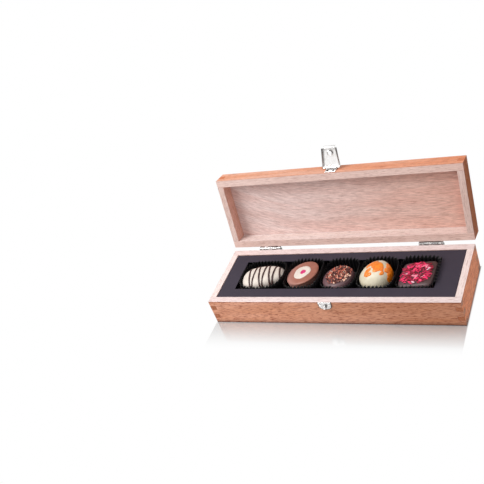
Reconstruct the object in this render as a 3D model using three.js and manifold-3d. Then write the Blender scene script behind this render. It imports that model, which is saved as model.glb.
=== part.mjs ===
// A wooden box of five chocolates, standing open.
// A finger-jointed case and lid turn on two stop hinges and shut with a swing clasp. A black card
// insert holds the chocolates in fluted paper cups.
// Millimetres, +X to the right, +Y to the back, +Z up. The origin is the middle of the underside.

import * as THREE from "three";
import { mergeVertices } from "three/addons/utils/BufferGeometryUtils.js";
import Module from "manifold-3d";

const wasm = await Module();
wasm.setup();

// Box
const BOX_LENGTH = 235;
const BOX_DEPTH = 72.5;
const CASE_HEIGHT = 26.2;
const LID_HEIGHT = 16;
const LONG_WALL = 6.7; // front and back boards
const END_WALL = 5.9; // left and right boards
const PANEL = 3; // thickness of the bottom and the lid panel
const REBATE = 3; // how far a panel is let into the boards
const CASE_FINGERS = 5;
const LID_FINGERS = 3;
const GLUE_LINE = 0.1; // gap left by every wood joint
const RIM_GAP = 0.52; // between the two rims when the lid is shut
const LID_OPEN = THREE.MathUtils.degToRad(101.1);

// Hinges
const HINGE_SETBACK = 1.9; // pin behind the back face
const HINGE_SPACING = 158; // between the middles of the two hinges
const HINGE_WIDTH = 22;
const HINGE_REACH = 10.5; // leaf, from the pin to its far edge
const LEAF = 0.8;
const KNUCKLES = 5;
const KNUCKLE_RADIUS = 1.65;
const KNUCKLE_GAP = 0.2;
const HINGE_PIN_RADIUS = 0.7;
const STOP_REACH = 2; // stop lip beyond its clearance from the knuckles
const STOP_THICKNESS = 0.7;
const STOP_GAP = 0.2; // between the two lips when the lid is open

// Clasp
const CLASP_OPEN = THREE.MathUtils.degToRad(102.5);
const CLASP_X = -0.8; // clasp and catch from the middle of the box
const CLASP_ABOVE_RIM = 8.2; // pin above the lid's rim
const CLASP_SETBACK = 1.6; // pin in front of the lid's face
const CLASP_KNUCKLE_RADIUS = 1.4;
const CLASP_PIN_RADIUS = 0.6;
const CLASP_PLATE_WIDTH = 10;
const CLASP_PLATE_DROP = 7.2; // plate, from the pin to its lower edge
const CLASP_SHEET = 0.7;
const ARM_TOP_WIDTH = 17;
const ARM_TIP_WIDTH = 13.8;
const ARM_LENGTH = 19.5; // from the pin to the tip
const ARM_HEEL = 1.1; // from the pin to the end that stops the arm
const ARM_OUT = 2.2; // inner face of the shut arm in front of the wood
const ARM_FLANGE = 1.05; // depth of the turned-in sides
const ARM_HOLE_RADIUS = 2.5;
const ARM_LIP = 2; // outward finger lip at the tip
const CATCH_WIDTH = 12;
const CATCH_HEIGHT = 8.2;
const CATCH_SQUARE = 2.4; // squareness of the catch plate's round side: 2 is an ellipse
const NUB_DROP = 4.6; // nub below the case rim
const NUB_RADIUS = 1.5;
const NUB_OUT = 3.4; // end of the nub in front of the wood

// Nails
const NAIL_RADIUS = 0.5;
const NAIL_LENGTH = 4;
const NAIL_HEAD_RADIUS = 1.1;
const NAIL_HEAD_HEIGHT = 0.5;
const NAIL_HEAD_SHOULDER = 0.8; // share of the head's radius and height where it rounds over
const HINGE_NAIL_SPACING = 13;
const HINGE_NAIL_REACH = 6.6; // from the hinge pin
const CLASP_NAIL_SPACING = 5.6;
const CLASP_NAIL_REACH = 4.8; // from the clasp pin
const CATCH_NAIL_SPACING = 8.4;
const CATCH_NAIL_DROP = 2.6; // below the case rim

// Card and cups
const CARD = 0.8;
const CARD_DROP = 0.5; // top of the card below the case rim
const CARD_CLEARANCE = 0.4; // card to the boards
const WINDOW_DEPTH = 37.5;
const WINDOW_SHIFT_X = -2.2;
const WINDOW_SHIFT_Y = 0.6;
const RISER_TOP = 13; // upper face of the card riser
const RISER_DEPTH = 31;
const CUP_PAPER = 0.5;
const CUP_PROUD = 1.2; // cup rim above the card
const CUP_ROOM = 2.4; // chocolate to the edge of its cell
const CUP_GAP = 0.2; // cup to the edge of its cell
const CUP_FLARE = 0.5; // rim beyond the foot
const FLUTE = 0.4; // half the depth of a pleat
const FLUTES = 30;
const CUP_SQUARE = 3.2; // squareness of a cup's outline: 2 is an ellipse

// Clearances
const SEAT = 0.1; // pieces that rest on each other
const FIT = 0.1; // nail, pin and bore, all round
const RUNNING = 0.25; // pieces that turn past each other
const OVERCUT = 1; // how far a cutter runs past the face it opens
const BITE = 0.3; // how far two shapes of one piece run into each other

// Chocolates. The crown is the height of a chocolate's rounded top, and each stands proud of the card
// by its own height. Y is its place from the middle of the window.
const OVAL_HALF_LENGTH = 21.6;
const OVAL_HALF_WIDTH = 12.7;
const OVAL_CROWN = 9;
const OVAL_PROUD = 5.3;
const OVAL_Y = -1.2;
const ROUND_RADIUS = 15.1;
const ROUND_CROWN = 6;
const ROUND_PROUD = 4.7;
const ROUND_Y = -0.8;
const NIB_RADIUS = 14.6;
const NIB_CROWN = 6;
const NIB_PROUD = 2.9;
const NIB_Y = -2.4;
const DOME_RADIUS = 15.7;
const DOME_CROWN = 13;
const DOME_PROUD = 8.1;
const DOME_Y = -1.4;
const SQUARE_HALF_WIDTH = 15.2;
const SQUARE_CROWN = 6;
const SQUARE_PROUD = 1.8;
const SQUARE_Y = -1.2;
const CHOCOLATE_SHIFT = -0.4; // chocolate from the middle of its cell, along X
const CHOCOLATE_FOOT = 1; // rounding at the underside
const CHOCOLATE_DRAFT = 0.955; // outline just above the foot, as a share of the widest
const SPOT_RADIUS = 8.3;
const DOT_RADIUS = 2.6;
const SPOT_THICKNESS = 0.6;
const CRUST_RADIUS = 11.5;
const CRUST_THICKNESS = 1;
const CRUST_BUMP = 0.5;
const CRUST_SHORT_WAVE = 3.3;
const CRUST_LONG_WAVE = 8.4;
const CRUST_RINGS = [0.94, 0.75, 0.5, 0.25]; // shares of the radius
const DROP_EDGE = 0.9; // share of a drop's radius at which its upper face starts
const DRIZZLE_RADIUS = 0.6;
const DRIZZLE_PASSES = 7;
const DRIZZLE_SPAN = 0.78; // share of the oval's length that the stripe covers
const DRIZZLE_REACH = 0.9; // share of the oval's width that each pass crosses
const ORANGE_FLATNESS = 0.5;
const ORANGE_BREADTH = 0.75;
const ORANGE_TOP_LENGTH = 12;
const ORANGE_LEFT_LENGTH = 9;
const ORANGE_CRUMB_LENGTH = 4.4;
const ORANGE_RIGHT_LENGTH = 9;

// The row of chocolates, from left to right. A larger `round` makes a flatter top with a tighter edge,
// and the slanted ones have settled in their cups with the right side up.
const degrees = THREE.MathUtils.degToRad;
const CHOCOLATES = [
  {
    ...{ name: "oval", halfX: OVAL_HALF_LENGTH, halfY: OVAL_HALF_WIDTH, square: 2.2 },
    ...{ crown: OVAL_CROWN, round: 2.6, proud: OVAL_PROUD, y: OVAL_Y },
    ...{ turn: degrees(12), slant: 0 },
  },
  {
    ...{ name: "round", halfX: ROUND_RADIUS, halfY: ROUND_RADIUS, square: 2 },
    ...{ crown: ROUND_CROWN, round: 5, proud: ROUND_PROUD, y: ROUND_Y },
    ...{ turn: 0, slant: degrees(11) },
  },
  {
    ...{ name: "nib", halfX: NIB_RADIUS, halfY: NIB_RADIUS, square: 2 },
    ...{ crown: NIB_CROWN, round: 5, proud: NIB_PROUD, y: NIB_Y },
    ...{ turn: 0, slant: degrees(10) },
  },
  {
    ...{ name: "dome", halfX: DOME_RADIUS, halfY: DOME_RADIUS, square: 2 },
    ...{ crown: DOME_CROWN, round: 2.6, proud: DOME_PROUD, y: DOME_Y },
    ...{ turn: 0, slant: degrees(2) },
  },
  {
    ...{ name: "square", halfX: SQUARE_HALF_WIDTH, halfY: SQUARE_HALF_WIDTH, square: 7 },
    ...{ crown: SQUARE_CROWN, round: 6, proud: SQUARE_PROUD, y: SQUARE_Y },
    ...{ turn: degrees(-3), slant: degrees(9) },
  },
];
// Candied orange pieces: length, direction round the dome and slope from its top.
const ORANGE_PIECES = [
  { length: ORANGE_TOP_LENGTH, around: degrees(60), slope: degrees(12) },
  { length: ORANGE_LEFT_LENGTH, around: degrees(207), slope: degrees(30) },
  { length: ORANGE_CRUMB_LENGTH, around: degrees(321), slope: degrees(38) },
  { length: ORANGE_RIGHT_LENGTH, around: degrees(358), slope: degrees(50) },
];

// Places worked out from the sizes above
const CLASP_TO_NUB = CLASP_ABOVE_RIM + RIM_GAP + NUB_DROP;
const HINGE_Y = BOX_DEPTH / 2 + HINGE_SETBACK;
const HINGE_Z = CASE_HEIGHT + RIM_GAP / 2;
const LID_BASE = CASE_HEIGHT + RIM_GAP;
const CARD_TOP = CASE_HEIGHT - CARD_DROP;
const CUP_BASE = RISER_TOP + SEAT;
const CHOCOLATE_BASE = CUP_BASE + CUP_PAPER + SEAT;
const cellWidth = (chocolate) => 2 * (chocolate.halfX + CUP_ROOM);
const WINDOW_LENGTH = CHOCOLATES.reduce((sum, chocolate) => sum + cellWidth(chocolate), 0);

// Facets
const ROUND_SIDES = 16;
const NAIL_SIDES = 8;
const CATCH_SIDES = 16;
const CHOCOLATE_SIDES = 32;
const CROWN_STEPS = 6;
const DRIZZLE_STEPS = 10; // along one pass of the stripe
const DRIZZLE_SIDES = 6;
const NUDGE = 0.05; // step used to feel the slope of a crown

const finish = (color, roughness, metalness = 0) =>
  new THREE.MeshStandardMaterial({ color, roughness, metalness });
const FINISHES = {
  wood: () => finish(0xbf8560, 0.6),
  nickel: () => finish(0xc9c8c4, 0.25, 1),
  card: () => finish(0x4a444c, 0.8),
  paper: () => finish(0x15131a, 0.7),
  white: () => finish(0xece6d2, 0.4),
  milk: () => finish(0x9c6248, 0.4),
  dark: () => finish(0x4a2f2c, 0.35),
  pink: () => finish(0xd8447f, 0.5),
  nib: () => finish(0x96553c, 0.6),
  orange: () => finish(0xf2922e, 0.35),
  berry: () => finish(0xd62f5f, 0.6),
};

// Joining and cutting closed geometries

function solidOf(geometry) {
  const bare = geometry.index ? geometry.toNonIndexed() : geometry.clone();
  bare.deleteAttribute("normal");
  bare.deleteAttribute("uv");
  const merged = mergeVertices(bare);
  return new wasm.Manifold(
    new wasm.Mesh({
      numProp: 3,
      vertProperties: merged.attributes.position.array,
      triVerts: Uint32Array.from(merged.index.array),
    }),
  );
}

function geometryOf(solid) {
  const mesh = solid.getMesh();
  const geometry = new THREE.BufferGeometry();
  geometry.setAttribute("position", new THREE.BufferAttribute(Float32Array.from(mesh.vertProperties), 3));
  geometry.setIndex(new THREE.BufferAttribute(Uint32Array.from(mesh.triVerts), 1));
  geometry.computeVertexNormals();
  return geometry;
}

const join = (...pieces) =>
  geometryOf(pieces.map(solidOf).reduce((whole, piece) => whole.add(piece)));
const cut = (piece, ...tools) =>
  geometryOf(tools.map(solidOf).reduce((whole, tool) => whole.subtract(tool), solidOf(piece)));

// Basic shapes

// A block between two corners.
function block(x0, y0, z0, x1, y1, z1) {
  const geometry = new THREE.BoxGeometry(Math.abs(x1 - x0), Math.abs(y1 - y0), Math.abs(z1 - z0));
  return geometry.translate((x0 + x1) / 2, (y0 + y1) / 2, (z0 + z1) / 2);
}

// A round bar along X from x0 to x1, about the line y = z = 0.
function barAlongX(radius, x0, x1, sides = ROUND_SIDES) {
  const geometry = new THREE.CylinderGeometry(radius, radius, x1 - x0, sides);
  return geometry.rotateZ(Math.PI / 2).translate((x0 + x1) / 2, 0, 0);
}

// A round bar along Y from y0 to y1, about the line x, z.
function barAlongY(radius, x, z, y0, y1, sides = NAIL_SIDES) {
  const geometry = new THREE.CylinderGeometry(radius, radius, y1 - y0, sides);
  return geometry.translate(x, (y0 + y1) / 2, z);
}

// An outline in X and Z carried along Y from y0 to y1.
function plate(points, y0, y1, holes = []) {
  const shape = new THREE.Shape(points.map(([x, z]) => new THREE.Vector2(x, z)));
  holes.forEach(([x, z, radius]) =>
    shape.holes.push(new THREE.Path().absarc(x, z, radius, 0, 2 * Math.PI, true)),
  );
  const geometry = new THREE.ExtrudeGeometry(shape, {
    depth: y1 - y0,
    bevelEnabled: false,
    curveSegments: ROUND_SIDES,
  });
  return geometry.rotateX(Math.PI / 2).translate(0, y1, 0);
}

// A skin through closed rings of equal length, ended by a fan to a point at each end.
function loft(rings, first, last) {
  const sides = rings[0].length;
  const points = [first, ...rings.flat(), last];
  const lastIndex = points.length - 1;
  const at = (ring, side) => 1 + ring * sides + (side % sides);
  const faces = [];
  for (let side = 0; side < sides; side++) {
    faces.push(0, at(0, side + 1), at(0, side));
    faces.push(lastIndex, at(rings.length - 1, side), at(rings.length - 1, side + 1));
    for (let ring = 0; ring < rings.length - 1; ring++) {
      faces.push(at(ring, side), at(ring, side + 1), at(ring + 1, side));
      faces.push(at(ring + 1, side), at(ring, side + 1), at(ring + 1, side + 1));
    }
  }
  return new THREE.BufferGeometry().setFromPoints(points).setIndex(faces);
}

// Distance from the middle to a superellipse, in the direction of an angle.
function superellipse(halfX, halfY, square, angle) {
  const across = Math.abs(Math.cos(angle) / halfX) ** square;
  const along = Math.abs(Math.sin(angle) / halfY) ** square;
  return (across + along) ** (-1 / square);
}

function add(group, name, geometry, material) {
  const mesh = new THREE.Mesh(geometry, material);
  mesh.name = name;
  group.add(mesh);
  return mesh;
}

// Boards of a finger-jointed box
// A box's corners are cut into equal fingers: the long boards keep the first, third and fifth, the
// end boards the others.

function fingerOutline(fullHalf, backHalf, height, fingers, keepsFirst) {
  const step = height / fingers;
  const keeps = (finger) => (finger % 2 === 0) === keepsFirst;
  const right = [];
  for (let finger = 0; finger < fingers; finger++) {
    const reach = keeps(finger) ? fullHalf : backHalf;
    const lower = keeps(finger) ? GLUE_LINE / 2 : -GLUE_LINE / 2;
    const bottom = finger === 0 ? 0 : finger * step + lower;
    const top = finger === fingers - 1 ? height : (finger + 1) * step - lower;
    right.push([reach, bottom], [reach, top]);
  }
  const left = right.map(([x, z]) => [-x, z]).reverse();
  return [...right, ...left];
}

// The four boards and the panel of a tray whose panel lies at its lower or its upper side.
function tray(group, prefix, base, height, fingers, panelOnTop, holes) {
  const halfLength = BOX_LENGTH / 2;
  const halfDepth = BOX_DEPTH / 2;
  const panelX = halfLength - END_WALL + REBATE;
  const panelY = halfDepth - LONG_WALL + REBATE;
  const panelBottom = panelOnTop ? base + height - PANEL : base;
  const panelTop = panelBottom + PANEL;
  const pocket = block(
    -panelX - GLUE_LINE,
    -panelY - GLUE_LINE,
    panelOnTop ? panelBottom - GLUE_LINE : panelBottom - OVERCUT,
    panelX + GLUE_LINE,
    panelY + GLUE_LINE,
    panelOnTop ? panelTop + OVERCUT : panelTop + GLUE_LINE,
  );
  const longOutline = fingerOutline(halfLength, halfLength - END_WALL - GLUE_LINE, height, fingers, true);
  const endOutline = fingerOutline(halfDepth, halfDepth - LONG_WALL - GLUE_LINE, height, fingers, false);
  const front = plate(longOutline, -halfDepth, -halfDepth + LONG_WALL).translate(0, 0, base);
  const back = plate(longOutline, halfDepth - LONG_WALL, halfDepth).translate(0, 0, base);
  const right = plate(endOutline, -halfLength, -halfLength + END_WALL).rotateZ(Math.PI / 2);
  const left = plate(endOutline, halfLength - END_WALL, halfLength).rotateZ(Math.PI / 2);
  add(group, prefix + "_front", cut(front, pocket, ...holes.front), FINISHES.wood());
  add(group, prefix + "_back", cut(back, pocket, ...holes.back), FINISHES.wood());
  add(group, prefix + "_left", cut(left.translate(0, 0, base), pocket), FINISHES.wood());
  add(group, prefix + "_right", cut(right.translate(0, 0, base), pocket), FINISHES.wood());
  const panel = block(-panelX, -panelY, panelBottom, panelX, panelY, panelTop);
  add(group, prefix + (panelOnTop ? "_panel" : "_bottom"), panel, FINISHES.wood());
}

// Nails

const SHEET_FACE = SEAT + LEAF; // outer face of a hinge leaf in front of its board
const PLATE_FACE = SEAT + CLASP_SHEET; // outer face of a clasp plate in front of its board

// A round-headed nail along Y whose head faces `outward` (+1 or -1) and rests on the face at `y`.
function nail(x, y, z, outward) {
  const profile = [
    [0, -NAIL_LENGTH],
    [NAIL_RADIUS, NAIL_RADIUS * 2 - NAIL_LENGTH],
    [NAIL_RADIUS, 0],
    [NAIL_HEAD_RADIUS, 0],
    [NAIL_HEAD_RADIUS * NAIL_HEAD_SHOULDER, NAIL_HEAD_HEIGHT * NAIL_HEAD_SHOULDER],
    [0, NAIL_HEAD_HEIGHT],
  ].map(([radius, height]) => new THREE.Vector2(radius, height));
  const geometry = new THREE.LatheGeometry(profile, NAIL_SIDES);
  if (outward < 0) geometry.rotateX(Math.PI);
  return geometry.translate(x, y + outward * SEAT, z);
}

// The hole that a nail leaves in the board behind the face at `y`.
function nailHole(x, y, z, outward) {
  const depth = NAIL_LENGTH + FIT;
  const ends = [y + outward * OVERCUT, y - outward * depth].sort((a, b) => a - b);
  return barAlongY(NAIL_RADIUS + FIT, x, z, ...ends);
}

const BACK_FACE = BOX_DEPTH / 2;
const FRONT_FACE = -BOX_DEPTH / 2;
const hingeMiddles = { left: -HINGE_SPACING / 2, right: HINGE_SPACING / 2 };
// Nail places as x and z, in the frame of the shut box.
const hingeNails = (side, up) =>
  [-1, 1].map((way) => [
    hingeMiddles[side] + (way * HINGE_NAIL_SPACING) / 2,
    HINGE_Z + up * HINGE_NAIL_REACH,
  ]);
const claspPivotZ = LID_BASE + CLASP_ABOVE_RIM;
const nailPair = (spacing, z) => [-1, 1].map((way) => [CLASP_X + (way * spacing) / 2, z]);
const claspNails = nailPair(CLASP_NAIL_SPACING, claspPivotZ - CLASP_NAIL_REACH);
const catchNails = nailPair(CATCH_NAIL_SPACING, CASE_HEIGHT - CATCH_NAIL_DROP);
const backHoles = (up) =>
  Object.keys(hingeMiddles).flatMap((side) =>
    hingeNails(side, up).map(([x, z]) => nailHole(x, BACK_FACE, z, 1)),
  );

function addNails(group, prefix, places, y, outward) {
  places.forEach(([x, z], index) =>
    add(group, `${prefix}_nail_${index + 1}`, nail(x, y, z, outward), FINISHES.nickel()),
  );
}

// Hinges
// A leaf lies on the back face and rolls into knuckles round the pin. Each leaf also has a lip past
// its knuckles, and the two lips meet when the lid is open.

function hingeLeaf(side, up) {
  const start = hingeMiddles[side] - HINGE_WIDTH / 2;
  const step = HINGE_WIDTH / KNUCKLES;
  const inner = -HINGE_SETBACK + SEAT;
  const isOwn = (knuckle) => (knuckle % 2 === 0) === up < 0;
  const lipAngle = (Math.PI - LID_OPEN) / 2;
  const lipFoot = KNUCKLE_RADIUS + RUNNING;
  const lipOffset = -STOP_GAP / 2 - STOP_THICKNESS;
  // A strip of the lip between two distances from the pin.
  const lip = (x0, x1, from, to) =>
    block(x0, lipOffset, from, x1, -STOP_GAP / 2, to)
      .rotateX(-lipAngle)
      .scale(1, 1, up);
  const turned = (geometry) => (up < 0 ? flipped(geometry) : geometry);
  const pieces = [
    block(start, inner, 0, start + HINGE_WIDTH, inner + LEAF, up * HINGE_REACH),
    turned(lip(start, start + HINGE_WIDTH, lipFoot, lipFoot + STOP_REACH)),
  ];
  const cutters = [];
  for (let knuckle = 0; knuckle < KNUCKLES; knuckle++) {
    const x0 = start + knuckle * step;
    const x1 = x0 + step;
    if (isOwn(knuckle)) {
      pieces.push(barAlongX(KNUCKLE_RADIUS, x0 + KNUCKLE_GAP / 2, x1 - KNUCKLE_GAP / 2));
      pieces.push(
        turned(lip(x0 + KNUCKLE_GAP / 2, x1 - KNUCKLE_GAP / 2, KNUCKLE_RADIUS - BITE, lipFoot + BITE)),
      );
    } else {
      cutters.push(barAlongX(KNUCKLE_RADIUS + RUNNING, x0 - KNUCKLE_GAP / 2, x1 + KNUCKLE_GAP / 2));
    }
  }
  cutters.push(barAlongX(HINGE_PIN_RADIUS + FIT, start - OVERCUT, start + HINGE_WIDTH + OVERCUT));
  hingeNails(side, up).forEach(([x, z]) =>
    cutters.push(barAlongY(NAIL_RADIUS + FIT, x, z - HINGE_Z, inner - OVERCUT, inner + LEAF + OVERCUT)),
  );
  return cut(join(...pieces), ...cutters).translate(0, HINGE_Y, HINGE_Z);
}

// A mirrored copy has its faces turned round again, so that they still point out.
function flipped(geometry) {
  const turned = geometry.index ? geometry.toNonIndexed() : geometry;
  const places = turned.getAttribute("position");
  for (let corner = 0; corner < places.count; corner += 3) {
    const second = new THREE.Vector3().fromBufferAttribute(places, corner + 1);
    const third = new THREE.Vector3().fromBufferAttribute(places, corner + 2);
    places.setXYZ(corner + 1, ...third);
    places.setXYZ(corner + 2, ...second);
  }
  return turned;
}

function hingePin(side) {
  const start = hingeMiddles[side] - HINGE_WIDTH / 2;
  return barAlongX(HINGE_PIN_RADIUS, start, start + HINGE_WIDTH).translate(0, HINGE_Y, HINGE_Z);
}

// Clasp, about its pin: the wood lies at y = CLASP_SETBACK and the arm hangs down when shut

const claspPlateHalf = CLASP_PLATE_WIDTH / 2;

function claspPlate() {
  const inner = CLASP_SETBACK - SEAT;
  const face = inner - CLASP_SHEET;
  const leaf = block(-claspPlateHalf, face, -CLASP_PLATE_DROP, claspPlateHalf, inner, 0);
  const knuckle = barAlongX(CLASP_KNUCKLE_RADIUS, -claspPlateHalf, claspPlateHalf);
  const bore = barAlongX(CLASP_PIN_RADIUS + FIT, -claspPlateHalf - OVERCUT, claspPlateHalf + OVERCUT);
  const holes = claspNails.map(([x, z]) =>
    barAlongY(NAIL_RADIUS + FIT, x - CLASP_X, z - claspPivotZ, face - OVERCUT, inner + OVERCUT),
  );
  return cut(join(leaf, knuckle), bore, ...holes);
}

function claspArm() {
  const topHalf = ARM_TOP_WIDTH / 2;
  const tipHalf = ARM_TIP_WIDTH / 2;
  const inner = CLASP_SETBACK - ARM_OUT;
  const outer = inner - CLASP_SHEET;
  const sideGap = claspPlateHalf + RUNNING;
  const halfAt = (z) => topHalf + ((tipHalf - topHalf) * -z) / ARM_LENGTH;
  const outline = [
    [topHalf, ARM_HEEL],
    [topHalf, 0],
    [tipHalf, -ARM_LENGTH],
    [-tipHalf, -ARM_LENGTH],
    [-topHalf, 0],
    [-topHalf, ARM_HEEL],
  ].reverse();
  const web = plate(outline, outer, inner, [[0, -CLASP_TO_NUB, ARM_HOLE_RADIUS]]);
  const flange = (way) => {
    const bottom = -ARM_LENGTH + ARM_LIP;
    const edge = [
      [topHalf - CLASP_SHEET, ARM_HEEL],
      [topHalf - CLASP_SHEET, 0],
      [halfAt(bottom) - CLASP_SHEET, bottom],
      [halfAt(bottom), bottom],
      [topHalf, 0],
      [topHalf, ARM_HEEL],
    ].map(([x, z]) => [way * x, z]);
    return plate(way > 0 ? edge : edge.reverse(), inner - BITE, inner + ARM_FLANGE);
  };
  const lipTop = -ARM_LENGTH + CLASP_SHEET;
  const tipLip = block(-tipHalf, outer - ARM_LIP / 2, -ARM_LENGTH, tipHalf, outer + BITE, lipTop);
  const knuckle = (way) =>
    barAlongX(CLASP_KNUCKLE_RADIUS, ...[way * sideGap, way * topHalf].sort((a, b) => a - b));
  const middle = CLASP_KNUCKLE_RADIUS + RUNNING;
  const plateRoom = block(-sideGap, outer - OVERCUT, -middle, sideGap, CLASP_SETBACK, ARM_HEEL + OVERCUT);
  const bore = barAlongX(CLASP_PIN_RADIUS + FIT, -topHalf - OVERCUT, topHalf + OVERCUT);
  const heelRoom = block(
    -topHalf - OVERCUT,
    inner + BITE,
    0,
    topHalf + OVERCUT,
    CLASP_SETBACK,
    ARM_HEEL + OVERCUT,
  );
  const sides = join(flange(1), flange(-1), web, tipLip);
  return cut(join(cut(sides, heelRoom), knuckle(1), knuckle(-1)), plateRoom, bore);
}

function catchPlate() {
  const inner = FRONT_FACE - SEAT;
  const outline = Array.from({ length: CATCH_SIDES + 1 }, (_, side) => {
    const angle = Math.PI * (1 + side / CATCH_SIDES);
    const radius = superellipse(CATCH_WIDTH / 2, CATCH_HEIGHT, CATCH_SQUARE, angle);
    return [CLASP_X + radius * Math.cos(angle), CASE_HEIGHT + radius * Math.sin(angle)];
  });
  const sheet = plate(outline, inner - CLASP_SHEET, inner);
  const nub = barAlongY(
    NUB_RADIUS,
    CLASP_X,
    CASE_HEIGHT - NUB_DROP,
    FRONT_FACE - NUB_OUT,
    inner - BITE,
    ROUND_SIDES,
  );
  const holes = catchNails.map(([x, z]) =>
    barAlongY(NAIL_RADIUS + FIT, x, z, inner - CLASP_SHEET - OVERCUT, inner + OVERCUT),
  );
  return cut(join(sheet, nub), ...holes);
}

// Card insert and riser

const insideX = BOX_LENGTH / 2 - END_WALL - CARD_CLEARANCE;
const insideY = BOX_DEPTH / 2 - LONG_WALL - CARD_CLEARANCE;
const windowX = WINDOW_SHIFT_X - WINDOW_LENGTH / 2;
const windowY = WINDOW_SHIFT_Y - WINDOW_DEPTH / 2;

function cardInsert() {
  const outside = block(-insideX, -insideY, PANEL, insideX, insideY, CARD_TOP);
  const hollow = block(
    -insideX + CARD,
    -insideY + CARD,
    PANEL - OVERCUT,
    insideX - CARD,
    insideY - CARD,
    CARD_TOP - CARD,
  );
  const opening = block(
    windowX,
    windowY,
    CARD_TOP - CARD - OVERCUT,
    windowX + WINDOW_LENGTH,
    windowY + WINDOW_DEPTH,
    CARD_TOP + OVERCUT,
  );
  return cut(outside, hollow, opening);
}

function cardRiser() {
  const y0 = WINDOW_SHIFT_Y - RISER_DEPTH / 2;
  const x1 = windowX + WINDOW_LENGTH;
  const outside = block(windowX, y0, PANEL, x1, y0 + RISER_DEPTH, RISER_TOP);
  const hollow = block(
    windowX - OVERCUT,
    y0 + CARD,
    PANEL - OVERCUT,
    x1 + OVERCUT,
    y0 + RISER_DEPTH - CARD,
    RISER_TOP - CARD,
  );
  return cut(outside, hollow);
}

// Paper cups
// The wall zigzags between an outer and an inner pleat line that follow a rounded rectangle.

function paperCup(chocolate, middleX) {
  const halfX = cellWidth(chocolate) / 2 - CUP_GAP;
  const halfY = WINDOW_DEPTH / 2 - CUP_GAP;
  const square = Math.max(chocolate.square, CUP_SQUARE);
  const rim = CARD_TOP + CUP_PROUD;
  const ring = (inset, pleat, z) =>
    Array.from({ length: 2 * FLUTES }, (_, side) => {
      const angle = (side * Math.PI) / FLUTES;
      const out = side % 2 === 0 ? 0 : -2 * pleat;
      const radius = superellipse(halfX, halfY, square, angle) - inset + out;
      return new THREE.Vector3(radius * Math.cos(angle), radius * Math.sin(angle), z);
    });
  const rings = [
    ring(CUP_FLARE, FLUTE / 2, CUP_BASE),
    ring(0, FLUTE, rim),
    ring(CUP_PAPER, FLUTE, rim),
    ring(CUP_FLARE + CUP_PAPER, FLUTE / 2, CUP_BASE + CUP_PAPER),
  ];
  const floor = new THREE.Vector3(0, 0, CUP_BASE);
  const inside = new THREE.Vector3(0, 0, CUP_BASE + CUP_PAPER);
  return loft(rings, floor, inside).translate(middleX, WINDOW_SHIFT_Y, 0);
}

// Chocolates
// Each is a rounded outline with upright sides and a crown. A point at share k of the outline lies
// on the crown at the height (1 - k^round)^(1/round).

const chocolateHeight = (chocolate) => CARD_TOP + chocolate.proud - CHOCOLATE_BASE;

// Places a point of a chocolate: lifts it by the slant, more the higher it lies.
function settled(chocolate, point) {
  const share = point.z / chocolateHeight(chocolate);
  point.z += point.x * Math.tan(chocolate.slant) * share;
  return point;
}

function outlinePoint(chocolate, angle, share, z) {
  const radius = share * superellipse(chocolate.halfX, chocolate.halfY, chocolate.square, angle);
  const turned = angle + chocolate.turn;
  return settled(chocolate, new THREE.Vector3(radius * Math.cos(turned), radius * Math.sin(turned), z));
}

function chocolateBody(chocolate) {
  const height = chocolateHeight(chocolate);
  const shoulder = height - chocolate.crown;
  const foot = CHOCOLATE_DRAFT - CHOCOLATE_FOOT / Math.max(chocolate.halfX, chocolate.halfY);
  const levels = [
    [foot, 0],
    [CHOCOLATE_DRAFT, CHOCOLATE_FOOT],
  ];
  for (let step = 0; step < CROWN_STEPS; step++) {
    const angle = ((step / CROWN_STEPS) * Math.PI) / 2;
    const share = Math.cos(angle) ** (2 / chocolate.round);
    levels.push([share, shoulder + chocolate.crown * Math.sin(angle) ** (2 / chocolate.round)]);
  }
  const rings = levels.map(([share, z]) =>
    Array.from({ length: CHOCOLATE_SIDES }, (_, side) =>
      outlinePoint(chocolate, (side / CHOCOLATE_SIDES) * 2 * Math.PI, share, z),
    ),
  );
  return loft(rings, new THREE.Vector3(0, 0, 0), new THREE.Vector3(0, 0, height));
}

// A flat drop lying on the top of a chocolate, `lift` above it.
function drop(chocolate, radius, thickness, lift) {
  const z = chocolateHeight(chocolate) + lift;
  const tilt = Math.tan(chocolate.slant);
  const ring = (share, up) =>
    Array.from({ length: CHOCOLATE_SIDES }, (_, side) => {
      const angle = (side / CHOCOLATE_SIDES) * 2 * Math.PI;
      const x = share * radius * Math.cos(angle);
      return new THREE.Vector3(x, share * radius * Math.sin(angle), z + x * tilt + up);
    });
  const rings = [ring(1, 0), ring(1, thickness / 2), ring(DROP_EDGE, thickness)];
  return loft(rings, new THREE.Vector3(0, 0, z), new THREE.Vector3(0, 0, z + thickness));
}

// A rough crust on the top of a chocolate, whose height rises and falls by a sum of waves.
function crust(chocolate) {
  const z = chocolateHeight(chocolate) + SEAT;
  const tilt = Math.tan(chocolate.slant);
  const wave = (x, y) => Math.sin(2 * Math.PI * (x / CRUST_SHORT_WAVE + y / CRUST_LONG_WAVE));
  const bump = (x, y) => CRUST_BUMP * wave(x, y) * wave(y, -x);
  const ring = (share, thick) =>
    Array.from({ length: CHOCOLATE_SIDES }, (_, side) => {
      const angle = (side / CHOCOLATE_SIDES) * 2 * Math.PI;
      const radius = share * superellipse(CRUST_RADIUS, CRUST_RADIUS, chocolate.square, angle);
      const turned = angle + chocolate.turn;
      const x = radius * Math.cos(turned);
      const y = radius * Math.sin(turned);
      const up = thick ? CRUST_THICKNESS + bump(x, y) : 0;
      return new THREE.Vector3(x, y, z + x * tilt + up);
    });
  const rings = [ring(1, false), ...CRUST_RINGS.map((share) => ring(share, true))];
  const top = new THREE.Vector3(0, 0, z + CRUST_THICKNESS);
  return loft(rings, new THREE.Vector3(0, 0, z), top);
}

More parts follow.
